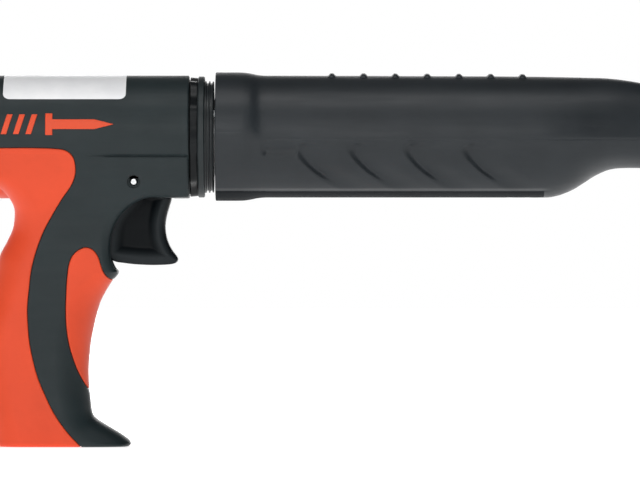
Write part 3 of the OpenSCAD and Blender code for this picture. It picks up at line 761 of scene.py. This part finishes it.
GRID = 0.42
for side, y0, y1 in (("right", -27.4, 0), ("left", 0, 27.4)):
    put(carve("shell_" + side, lambda x, y, z: shell(x, y, z, side == "left"),
              (REAR_X, y0, BASE_Z), (FRONT_X, y1, 27.2), GRID),
        "housing", "housing", "housing_" + side, slot="housing_polymer")
REAR_BOX = ((REAR_X, 0, BASE_Z), (-284, 27.2, -5))
FRONT_BOX = ((-294.5, 0, -113.5), (-273, 18, -48))
for part, patch, box, limit in (("rear", REAR_PATCH, REAR_BOX, 90000),
                                ("front", FRONT_PATCH, FRONT_BOX, 60000)):
    for side in ("right", "left"):
        pockets = part == "rear" and side == "left"
        put(carve(part + "_skin_" + side, skin_of(patch, pockets), *box, GRID, limit,
                  flip=side == "right"),
            "orange", "housing", part + "_grip_" + side, slot="orange_elastomer")

# ---------------------------------------------------------------------- sleeve

TOP = graph([
    (-232, 28.42), (-218.5, 28.42), (-216, 28.34), (-213, 27.9), (-210, 27.3), (-207, 27.02),
    (-203, 27), (-150, 26.85), (-95, 26.6), (-80, 26.4), (-66, 26.1), (-56.5, 25.8),
    (-49, 25), (-41.8, 23.8), (-37, 22.6), (-32, 21), (-27, 18.9), (-22.5, 16.4), (-18, 13.4)])
FLOOR = graph([
    (-232, -28.42), (-218.5, -28.42), (-216, -28.34), (-213, -27.9), (-210, -27.3),
    (-207, -27.02), (-203, -27), (-95, -27), (-86, -27), (-82.7, -26.8), (-79.5, -26.2),
    (-76.5, -25.4), (-71.3, -23.2), (-66.6, -20.3), (-61.9, -17.3), (-56.5, -14.8),
    (-53, -14), (-49, -13.7), (-40, -13.7), (-18, -13.7)])
WIDE = graph([
    (-232, 28.42), (-218.5, 28.42), (-216, 28.34), (-213, 27.9), (-210, 27.3), (-207, 27.02),
    (-203, 27), (-95, 26.8), (-82.7, 26.5), (-71.3, 25.2), (-61.9, 23.5), (-53, 21.9),
    (-46, 20.4), (-37, 18.5), (-27, 16.2), (-22.5, 14.9), (-18, 13.6)])
# where the top ridges and the finger scoops are, and how far they stand out or go in
RIDGES = [-177.4 + 13.96 * k for k in range(7)]
RECESSES = [-192.7, -169.4, -145.2, -119.7]
RIDGE_HEIGHT, SCOOP_DEPTH, CHANNEL_DEPTH = 1.12, 2.2, 1.5


def oval(y, z, a, b):
    """Near distance to an ellipse with half axes a and b."""
    k1 = np.hypot(y / a, z / b)
    k2 = np.hypot(y / a ** 2, z / b ** 2)
    return k1 * (k1 - 1) / np.maximum(k2, 1e-6)


def sleeve_outside(x, y, z):
    top, base, half = TOP(x), FLOOR(x), WIDE(x)
    # upper and lower halves meet in a soft ridge along each side
    line = 1.8 - 3.1 * step(x, -214, -208)
    tilt = 3.2
    zu, zl = line - tilt, line + tilt
    au = half / np.sqrt(1 - (tilt / (top - zu)) ** 2)
    al = half / np.sqrt(1 - (tilt / (zl - base)) ** 2)
    up = np.where(z > zu, oval(y, z - zu, au, top - zu), np.abs(y) - au)
    low = np.where(z < zl, oval(y, z - zl, al, zl - base), np.abs(y) - al)
    d = smax(up, low, 0.5)
    depth = 0.0
    # finger scoops: deepest along a slanting rear edge, running out forwards
    for x0 in RECESSES:
        fall = np.maximum(-6 - z, 0) / 14
        rise = np.maximum(z + 6, 0) / 3.4
        s = x - (x0 + 14 * fall ** 1.5 + 2.2 * rise ** 2)
        cut = step(s, -2.2, 2.8) * (1 - step(s, 2.2, 17))
        cut = cut * step(z, -24, -15) * (1 - step(z, -4.8, -1.6))
        depth = np.maximum(depth, SCOOP_DEPTH * cut)
    # short channel behind the first scoop
    depth = np.maximum(depth, CHANNEL_DEPTH * np.exp(-((z + 6.1) / 2.3) ** 2)
                       * step(x, -209.5, -206) * (1 - step(x, -194, -190)))
    # flat runner under the sleeve, set in behind a narrow groove
    run = 1 - step(x, -86, -80)
    depth = depth + run * (0.4 * np.exp(-((z + 23.5) / 0.5) ** 2) + 0.35 * (1 - step(z, -24.1, -23.4)))
    # parting line between the upper and lower mouldings
    level = 1 - step(x, -217, -214) * (1 - step(x, -208, -205))
    depth = depth + 0.1 * level * np.exp(-((z - line) / 0.4) ** 2)
    for hole in (-99, -91):
        depth = depth + 1.4 * (1 - step(np.hypot(x - hole, y), 1.25, 1.7)) * (z < 0)
    # small ridges along the top
    bump = 0.0
    for x0 in RIDGES:
        bump = np.maximum(bump, 1 - step(np.abs(x - x0), 0.5, 1.95))
    bump = bump * (1 - step(np.abs(y), 5.6, 7.6)) * (z > 0)
    return d + depth - RIDGE_HEIGHT * bump


def wrapped(f, xs, angles, reach):
    """Radius of the surface f = 0 along each ray from the bore axis, with its normal."""
    x, a = np.meshgrid(xs, angles, indexing="ij")
    low, high = np.full(x.shape, 3.0), np.full(x.shape, reach)
    for _ in range(26):
        r = (low + high) / 2
        inside = f(x, r * np.cos(a), r * np.sin(a)) < 0
        low, high = np.where(inside, r, low), np.where(inside, high, r)
    p = np.stack([x, r * np.cos(a), r * np.sin(a)], -1)
    return p, outward(f, p.reshape(-1, 3), 0.12).reshape(p.shape)


def sleeve_mesh(name):
    """Outer skin from its field, then lip, bore and nose, as one closed ring mesh."""
    fine = 1.0
    xs = [-228.0]
    while xs[-1] < -19.5:
        x = xs[-1]
        ridge = min(abs(x - q) for q in RIDGES) < 2.6
        grip = -210 < x < -100
        step_x = 0.42 if ridge else 0.6 if grip or x < -204 or x > -98 else 0.9
        if min(abs(x + 99), abs(x + 91)) < 2.3:
            step_x = 0.3
        xs.append(x + step_x * fine)
    xs[-1] = -19.5
    # more rays where the runner's grooves and the pins are
    t = [0.0]
    while t[-1] < 360:
        a = t[-1] % 360
        low = min(abs(a - 242), abs(a - 298)) < 5 or abs(a - 270) < 4
        side = min(abs(a - 357), abs(a - 183), abs(a + 3)) < 4
        grip = 184 < a < 240 or 300 < a < 356
        t.append(t[-1] + (0.8 if low or side else 1.0 if grip else 1.5) * fine)
    t[-1] = 360.0
    angles = np.radians(t[:-1])
    p, n = wrapped(sleeve_outside, np.array(xs), angles, 31)
    around = len(angles)
    c, s = np.cos(angles), np.sin(angles)
    rings, normals = [], []

    def fillet(ring, end, sign):
        r0 = np.hypot(ring[:, 1], ring[:, 2])
        steps = np.linspace(0, math.pi / 2, 6)[1:]
        for u in steps:
            r = r0 - 0.5 + 0.5 * math.cos(u)
            x = np.full(around, end - sign * 0.5 + sign * 0.5 * math.sin(u))
            rings.append(np.stack([x, r * c, r * s], -1))
            lean = np.full(around, sign * math.sin(u))
            normals.append(np.stack([lean, c * math.cos(u), s * math.cos(u)], -1))

    for k in range(len(xs)):
        rings.append(p[k])
        normals.append(n[k])
    fillet(p[-1], -19, 1)
    # x, radius and normal along the inside, from the nose back to the collar's lip
    inner = [(-19, 12.6, 1, 0), (-19.3, 12.1, 0.7, -0.7), (-19.6, 12.04, 0, -1),
             (-60, 12.04, 0, -1), (-108, 12.04, 0, -1), (-108, 12.04, -1, 0), (-108, 18, -1, 0),
             (-108, 24.4, -1, 0), (-108, 24.4, 0, -1), (-165, 24.4, 0, -1),
             (-217.4, 24.4, 0, -1), (-217.7, 24.5, -0.7, -0.7), (-217.8, 24.8, -1, 0), (-217.8, 26.9, -1, 0),
             (-217.8, 26.9, 0, -1), (-228.0, 26.9, 0, -1), (-228.35, 27.0, -0.7, -0.7), (-228.5, 27.3, -1, 0)]
    for x, r, nx, nr in inner:
        rings.append(np.stack([np.full(around, float(x)), r * c, r * s], -1))
        normals.append(np.stack([np.full(around, float(nx)), nr * c, nr * s], -1))
    start = len(rings)
    fillet(p[0], -228.5, -1)
    rings[start:] = rings[start:][::-1]
    normals[start:] = normals[start:][::-1]
    m = len(rings)
    k = np.arange(around)
    l = (k + 1) % around
    quads = []
    for i in range(m):
        j = (i + 1) % m
        quads.append(np.stack([i * around + k, j * around + k, j * around + l, i * around + l], 1))
    normal = np.concatenate(normals)
    normal = normal / np.linalg.norm(normal, axis=1, keepdims=True)
    return quad_mesh(name, np.concatenate(rings), np.concatenate(quads), normal)


sleeve_piece = put(sleeve_mesh("sleeve_shell"), "sleeve", "barrel", "sleeve", slot="sleeve_polymer")
# the runner underneath is left rough from the mould; its downward-facing faces also get a darker colour,
# which is painted shade on the underside
sleeve_piece.data.materials.append(finish["runner"])
for face in sleeve_piece.data.polygons:
    c = face.center / MM
    if c.z < -23.9 and c.x < -84 and face.normal.z < -0.3 and c.y ** 2 + c.z ** 2 > 26 ** 2:
        face.material_index = 1

# --------------------------------------------------------------------- trigger

BLADE = Outline(spline([
    (-262, -18.6), (-256, -19.6), (-251, -22.4), (-248.7, -24.9), (-247.9, -27), (-248.7, -30.4),
    (-249.9, -34.6), (-250.5, -38.7), (-250.2, -43), (-249, -47), (-247.2, -50.2),
    (-245.5, -52.4), (-245, -53.8), (-245.6, -55), (-247.2, -55.8), (-254, -56.3),
    (-262, -56.1), (-268, -55.5), (-273, -54.6), (-275.6, -52.8), (-276.6, -49), (-276.4, -42),
    (-275, -35.4), (-271.4, -30), (-268.6, -26.6), (-267.4, -24), (-267.2, -21),
    (-265.4, -18.9)]), step=0.15, margin=6)


def segment(x, z, a, b, ra, rb):
    ex, ez = b[0] - a[0], b[1] - a[1]
    t = np.clip(((x - a[0]) * ex + (z - a[1]) * ez) / (ex * ex + ez * ez), 0, 1)
    return np.hypot(x - a[0] - t * ex, z - a[1] - t * ez) - ra - (rb - ra) * t


def trigger(x, y, z):
    s = BLADE(x, z)
    front = step(x, -264, -256)
    edge = 1.1 + 3.2 * front * step(z, -57, -50)
    wide = TRIGGER_HALF - 0.5 * step(z, -50, -56)
    # each side is scooped inside a soft rim that follows the outline
    scoop = 2.6 * step(-s, 2.6, 8.2)
    d = extruded(s, y, wide - scoop, edge)
    px, pz = TRIGGER_SPOT
    d = smin(d, extruded(np.hypot(x - px, z - pz) - 3.4, y, TRIGGER_HALF, 0.3), 0.5)
    arm = segment(x, z, (px - 3, pz - 6), (-276.35, -26.05), 2.6, 1.9)
    d = smin(d, extruded(arm, y, 3, 0.4), 0.6)
    d = np.maximum(d, 1.76 - np.hypot(x - px, z - pz))
    return np.maximum(d, -box_distance(x, y, z, (-268.4, -4, -24.4), (-259.4, 4, -10)))


put(carve("trigger_blade", trigger, (-279, -8.5, -56.4), (-245, 8.5, -16.3), 0.28, 70000),
    "trigger", "trigger", "trigger", slot="trigger_polymer")

# -------------------------------------------------------------------- rear cap

CAP_X, CAP_EDGE = -354, 5.5
CAP_SCREWS = [(21.5 * math.cos(math.radians(a)), 21.5 * math.sin(math.radians(a)))
              for a in (35, 90, 145)]


def cap(x, y, z):
    r = np.hypot(y, z)
    d = both_of(r - BODY_R, CAP_X - x, CAP_EDGE)
    d = smax(d, x - REAR_X + PARTING, 0.6)
    d = smax(d, -20.6 - z, 2.2)
    # shallow dish and a ring groove in the rear face
    d = smax(d, -np.maximum(r - 13.5, -x - 353.2 - 0.4), 0.8)
    d = smax(d, -np.maximum(np.abs(r - 16) - 0.55, x + 353.3), 0.4)
    for y0, z0 in CAP_SCREWS:
        q = np.hypot(y - y0, z - z0)
        d = smax(d, -np.maximum(q - 2.8, x + 347), 0.5)
        d = np.maximum(d, 1.62 - q)
    return np.maximum(d, -drum(x, y, z, 18, -350, -300))


put(carve("rear_cap", cap, (CAP_X, -BODY_R, -20.6), (REAR_X, BODY_R, BODY_R), 0.4, 90000),
    "cap", "housing", "end_cap", slot="cap_polymer")

# ---------------------------------------------------------------- turned parts


def lobes(angle, x, r):
    """Ten shallow lobes around the front ring."""
    t = 0.5 - 0.5 * np.cos(10 * (angle - math.pi + math.radians(27)))
    inside = (x > -239.7) & (x < -236.3) & (r > 20)
    return np.where(inside, r - 2.0 * t, r)


ring_piece = put(lathe("front_ring_turned", [
    (-240, 17.02, 0.2), (-233.2, 17.02, 0.2), (-233.2, 26.2, 0.3), (-233.6, 26.62, 0.3),
    (-235.8, 26.62, 0.4), (-236.2, 25.8, 0.15), (-236.4, 26.3, 0.2), (-239.5, 26.6, 0.4),
    (-239.7, 25.0, 0.1), (-240, 25.0, 0.05)], 360, 5, lobes),
    "ring", "housing", "front_ring", slot="ring_metal")
# the plain flange in front of the lobes has the housing's finish
ring_piece.data.materials.append(finish["cap"])
for face in ring_piece.data.polygons:
    if face.center.x > -0.2362:
        face.material_index = 1
put(lathe("buffer_ring_turned", [
    (-233.18, 17.02, 0.2), (-229.2, 17.02, 0.2), (-229.2, 24.3, 0.3), (-229.75, 24.6, 0.2),
    (-229.95, 23.7, 0.15), (-230.65, 23.7, 0.15), (-230.85, 24.6, 0.2), (-231.35, 24.6, 0.2),
    (-231.55, 23.7, 0.15), (-232.25, 23.7, 0.15), (-232.45, 24.6, 0.2), (-233.18, 24.6, 0.1)],
    200, 4), "neck", "housing", "buffer_ring", slot="buffer_rubber")
put(lathe("muzzle_turned", [
    (-70, 4, 0.2), (-1.2, 4, 0.3), (0, 5.2, 0.4), (0, 9.2, 0.4), (-0.8, 10, 0.4), (-10.5, 10, 0.6),
    (-12, 11.98, 0.3), (-22, 11.98, 0.2), (-22, 7.98, 0.1), (-70, 7.98, 0.3)], 160, 5),
    "muzzle", "barrel", "muzzle", slot="muzzle_steel")


def coil(name, r, wire, x0, x1, turns, sides=12, steps=40):
    """Coil spring that stretches between the housing at x0 and a moving body at x1."""
    n = steps * turns
    i, k = np.meshgrid(np.arange(n + 1), np.arange(sides), indexing="ij")
    a, b = 2 * math.pi * i / steps, 2 * math.pi * k / sides
    x = x0 + wire + (x1 - x0 - 2 * wire) * i / n
    q = r + wire * np.sin(b)
    points = np.stack([x + wire * np.cos(b), q * np.cos(a), q * np.sin(a)], -1).reshape(-1, 3) * MM
    faces = [list(range(sides)), list(range(n * sides, (n + 1) * sides))[::-1]]
    for j in range(n):
        for m in range(sides):
            u, v = j * sides + m, j * sides + (m + 1) % sides
            faces.append((v, u, u + sides, v + sides))
    mesh = bpy.data.meshes.new(name)
    mesh.from_pydata(points.tolist(), [], faces)
    for face in mesh.polygons:
        face.use_smooth = len(face.vertices) == 4
    obj = bpy.data.objects.new(name, mesh)
    bpy.context.scene.collection.objects.link(obj)
    paint(obj, "spring")
    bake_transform(obj)
    return obj


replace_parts(coil("main_coil", 7.2, 1.1, -318, -300, 5), "main_spring")
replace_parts(coil("return_coil", 11.6, 0.9, -262, -245, 3), "return_spring")


def octagon(angle, x, r):
    flat = 14.69 / np.cos((np.degrees(angle) % 45 - 22.5) * math.pi / 180)
    return np.where(r > 12.5, np.minimum(r, flat + (r - 15.4)), r)


put(lathe("muzzle_nut_turned", [
    (-18.98, 12.02, 0.3), (-13.4, 12.02, 0.3), (-13.4, 14.7, 0.3), (-14.1, 15.4, 0.3),
    (-18.3, 15.4, 0.3), (-18.98, 14.8, 0.3)], 192, 4, octagon),
    "dark", "barrel", "muzzle_nut", slot="dark_steel")

pin = lathe("trigger_pin_turned", [
    (-21.9, 0), (21.9, 0), (21.9, 1.7, 1.0), (-21.9, 1.7, 1.0)], 48, 8)
to_pivot = Matrix.Translation((TRIGGER_SPOT[0] * MM, 0, TRIGGER_SPOT[1] * MM))
pin.data.transform(to_pivot @ Matrix.Rotation(math.pi / 2, 4, "Z"))
put(pin, "bright", "housing", "trigger_pin", slot="bright_steel")

# ---------------------------------------------------------------- raised marks


def mark_field(outline):
    def f(x, y, z):
        r = np.hypot(y, z)
        d = smax(outline(x, z), r - 27.5, 0.35)
        return np.maximum(np.maximum(d, 26.99 - r), -y)
    return f


NAIL = [(-302.5, 0.4), (-299.3, 0.4), (-299.3, 3), (-281, 3), (-272.4, 5.2), (-281, 7.4),
        (-299.3, 7.4), (-299.3, 10), (-302.5, 10)]
BARS = [[(-322 + 5.4 * k, 0.8), (-319.4 + 5.4 * k, 0.8), (-316.6 + 5.4 * k, 9.6), (-319.2 + 5.4 * k, 9.6)]
        for k in range(3)]


class Several:
    def __init__(self, outlines):
        self.parts = [Outline(o, step=0.12, margin=3) for o in outlines]

    def __call__(self, x, z):
        return np.minimum.reduce([p(x, z) for p in self.parts]) + 0.05


MARKS = mark_field(Several([NAIL] + BARS))
for side, mirrored in (("right", True), ("left", False)):
    put(carve("badge_" + side + "_raised", MARKS, (-322.4, 24, 0), (-272, 27.5, 10.2), 0.2, 40000,
              flip=mirrored), "badge", "housing", "badge_" + side, slot="badge_orange")


def sticker(name, x0, x1, low_z, r0, r1, corner, nx=60, ns=120):
    """A film wrapped over the top of the housing, with rounded corners."""
    reach = r1 * (math.pi / 2 - math.asin(low_z / r1))
    u = (1 - np.cos(np.linspace(0, math.pi, nx))) / 2
    xs = x0 + (x1 - x0) * u
    inset = np.maximum(corner - np.minimum(xs - x0, x1 - xs), 0)
    end = reach - (corner - np.sqrt(np.maximum(corner ** 2 - inset ** 2, 0)))
    v = np.linspace(-1, 1, ns)
    ease = np.sin(v * math.pi / 2)
    grid = []
    for r in (r1, r0):
        arc = end[:, None] * ease[None, :] / r1
        x = np.repeat(xs[:, None], ns, 1)
        edge = np.minimum(np.minimum(x - x0, x1 - x), (1 - np.abs(ease))[None, :] * reach)
        rr = r - (0.09 * (1 - step(edge, 0, 0.35)) if r == r1 else 0)
        grid.append(np.stack([x, rr * np.sin(arc), rr * np.cos(arc)], -1).reshape(-1, 3))
    n = nx * ns
    i, j = np.meshgrid(np.arange(nx - 1), np.arange(ns - 1), indexing="ij")
    a = (i * ns + j).ravel()
    top = np.stack([a, a + ns, a + ns + 1, a + 1], 1)
    rim = []
    for k in range(nx - 1):
        for c in (0, ns - 1):
            p, q = k * ns + c, (k + 1) * ns + c
            rim.append([p, q, q + n, p + n] if c else [q, p, p + n, q + n])
    for k in range(ns - 1):
        for c in (0, nx - 1):
            p, q = c * ns + k, c * ns + k + 1
            rim.append([q, p, p + n, q + n] if c else [p, q, q + n, p + n])
    quads = np.concatenate([top, top[:, ::-1] + n, np.array(rim)])
    return quad_mesh(name, np.concatenate(grid), quads)


def film():
    """White label film: satin, faintly mottled, with fine wrinkles and scattered scuffs."""
    m, nt, s = surface("label_film", (0.86, 0.86, 0.87), 0.35, specular=0.4)
    broad = noise(nt, 70, 4, 0.6)
    base = mix(nt, ramp(nt, broad, 0, 1), (0.77, 0.775, 0.79), (0.85, 0.85, 0.86))
    scuff = ramp(nt, noise(nt, 300, 5, 0.7, (0.6, 3, 3)), 0, 1, 0.6, 0.75)
    base = mix(nt, times(nt, scuff, 0.3), base, (0.58, 0.58, 0.6))
    nt.links.new(base, s.inputs["Base Color"])
    nt.links.new(ramp(nt, broad, 0.3, 0.42), s.inputs["Roughness"])
    bumps(nt, s, [(noise(nt, 120, 2, 0.5, (2, 1, 1)), 0.0003, 0.12),
                  (noise(nt, 2600, 2), 0.00002, 0.3)])
    return m


finish["film"] = film()
put(sticker("label_wrapped", -321.2, -267.5, 16.3, 27.005, 27.15, 3),
    "film", "housing", "top_label", slot="label_film")

# ----------------------------------------------- CAD nodes that keep their shape

KEPT = {
    "receiver": "receiver_tube", "bronze": "front_bushing", "bush": "sleeve_bush",
    "dark": "breech_block rear_plug sear_lever striker_collar piston_rings",
    "bright": "breech_pins extractor sear_pin stop_pin sleeve_pins",
    "spring": "trigger_spring stop_pin_clip", "barrel": "barrel", "neck": "piston_buffer",
    "piston": "firing_pin piston", "zinc": "end_cap_screws housing_screws",
}
for key, names in KEPT.items():
    for name in names.split():
        paint(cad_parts[name], key)

# ---------------------------------------------------------- stage and lighting

scene = bpy.context.scene
scene.view_settings.view_transform = "Standard"
scene.view_settings.look = "None"

CENTRE = Vector((-0.1826, 0, -0.04532))
FLOOR_Z = CAD_BOX[0][2] - 0.0004


def floor_disc():
    around, rings = 96, 24
    verts = [(CENTRE.x, 0, FLOOR_Z)]
    faces = []
    for i in range(1, rings + 1):
        r = 6.0 * (i / rings) ** 1.6
        for k in range(around):
            a = 2 * math.pi * k / around
            verts.append((CENTRE.x + r * math.cos(a), r * math.sin(a), FLOOR_Z))
    for k in range(around):
        faces.append((0, 1 + k, 1 + (k + 1) % around))
    for i in range(rings - 1):
        for k in range(around):
            a, b = 1 + i * around + k, 1 + i * around + (k + 1) % around
            faces.append((a, a + around, b + around, b))
    mesh = bpy.data.meshes.new("studio_floor")
    mesh.from_pydata(verts, [], faces)
    obj = bpy.data.objects.new("studio_floor", mesh)
    scene.collection.objects.link(obj)
    m, nt, s = surface("floor_paper", (0.9, 0.9, 0.9), 0.8, specular=0.2)
    grain = noise(nt, 900, 3)
    paper = mix(nt, ramp(nt, grain, 0, 1), (0.89, 0.89, 0.89), (0.92, 0.92, 0.92))
    nt.links.new(paper, s.inputs["Base Color"])
    # painted light: the paper glows by emission, more strongly away from the tool, so it brightens away from
    # the tool
    place = node(nt, "NewGeometry")
    far = node(nt, "VectorMath", operation="LENGTH")
    nt.links.new(place.outputs["Position"], far.inputs[0])
    nt.links.new(ramp(nt, far.outputs["Value"], 0.7, 1.2, 0.25, 0.9), s.inputs["Emission Strength"])
    s.inputs["Emission Color"].default_value = (1, 1, 1, 1)
    mesh.materials.append(m)
    return obj


floor_disc()

world = bpy.data.worlds.new("studio")
scene.world = world
world.use_nodes = True
wt = world.node_tree
wt.nodes.clear()
# brightness by height over the front, over the top and down the back, in degrees
SKY = [(-180, 0.95), (-90, 0.9), (-8, 1.2), (2, 0.66), (20, 0.43), (56, 0.43), (72, 1.3),
       (80, 1.25), (88, 0.3), (98, 0.12), (138, 0.14), (156, 0.7), (180, 0.95)]
# brightness from left to right, from 0 to 1
SIDES = [(0.12, 0.45), (0.32, 1.0), (0.5, 1.0), (0.69, 0.3)]


def graded(value, low, high, stops):
    """Grey that follows stops as value goes from low to high."""
    n = node(wt, "ValToRGB")
    while len(n.color_ramp.elements) < len(stops):
        n.color_ramp.elements.new(0.5)
    for e, (at, grey) in zip(n.color_ramp.elements, stops):
        e.position = at
        e.color = (grey, grey, grey, 1)
    wt.links.new(ramp(wt, value, 0, 1, low, high), n.inputs["Fac"])
    return n.outputs["Color"]


split = node(wt, "SeparateXYZ")
wt.links.new(node(wt, "TexCoord").outputs["Generated"], split.inputs[0])
height = node(wt, "Math", operation="ARCTAN2")
wt.links.new(split.outputs["Z"], height.inputs[0])
wt.links.new(times(wt, split.outputs["Y"], -1), height.inputs[1])
sky = graded(height.outputs[0], -math.pi, math.pi, [((a + 180) / 360, v) for a, v in SKY])
lit = node(wt, "Background")
wt.links.new(mix(wt, 1.0, sky, graded(split.outputs["X"], -1, 1, SIDES), "MULTIPLY"), lit.inputs["Color"])
seen = node(wt, "Background", Color=(1, 1, 1, 1))
both = node(wt, "MixShader")
wt.links.new(node(wt, "LightPath").outputs["Is Camera Ray"], both.inputs["Fac"])
wt.links.new(lit.outputs["Background"], both.inputs[1])
wt.links.new(seen.outputs["Background"], both.inputs[2])
wt.links.new(both.outputs["Shader"], node(wt, "OutputWorld").inputs["Surface"])


def softbox(name, place, size, power, aim=CENTRE):
    light = bpy.data.lights.new(name, "AREA")
    light.shape = "RECTANGLE"
    light.size, light.size_y = size
    light.energy = power
    obj = bpy.data.objects.new(name, light)
    obj.location = place
    obj.rotation_euler = (aim - Vector(place)).to_track_quat("-Z", "Y").to_euler()
    obj.visible_camera = False
    scene.collection.objects.link(obj)
    return obj


softbox("key_front", (-0.6, -2.3, 0.95), (1.8, 1.4), 19)
softbox("side_strip", (1.5, -2.4, -0.1), (0.25, 1.3), 3)
softbox("top_front", (-0.3, -0.55, 1.9), (1.6, 0.5), 9)
softbox("back_soft", (-0.4, 2.3, 0.4), (2.0, 1.2), 16)

EYE_DISTANCE = 3.0
camera = bpy.data.cameras.new("camera")
camera.sensor_width = 36
camera.lens = 383.5
camera.clip_start, camera.clip_end = 0.05, 20
eye = bpy.data.objects.new("camera", camera)
eye.location = (CENTRE.x, -EYE_DISTANCE, CENTRE.z)
eye.rotation_euler = (math.pi / 2, 0, 0)
scene.collection.objects.link(eye)
scene.camera = eye
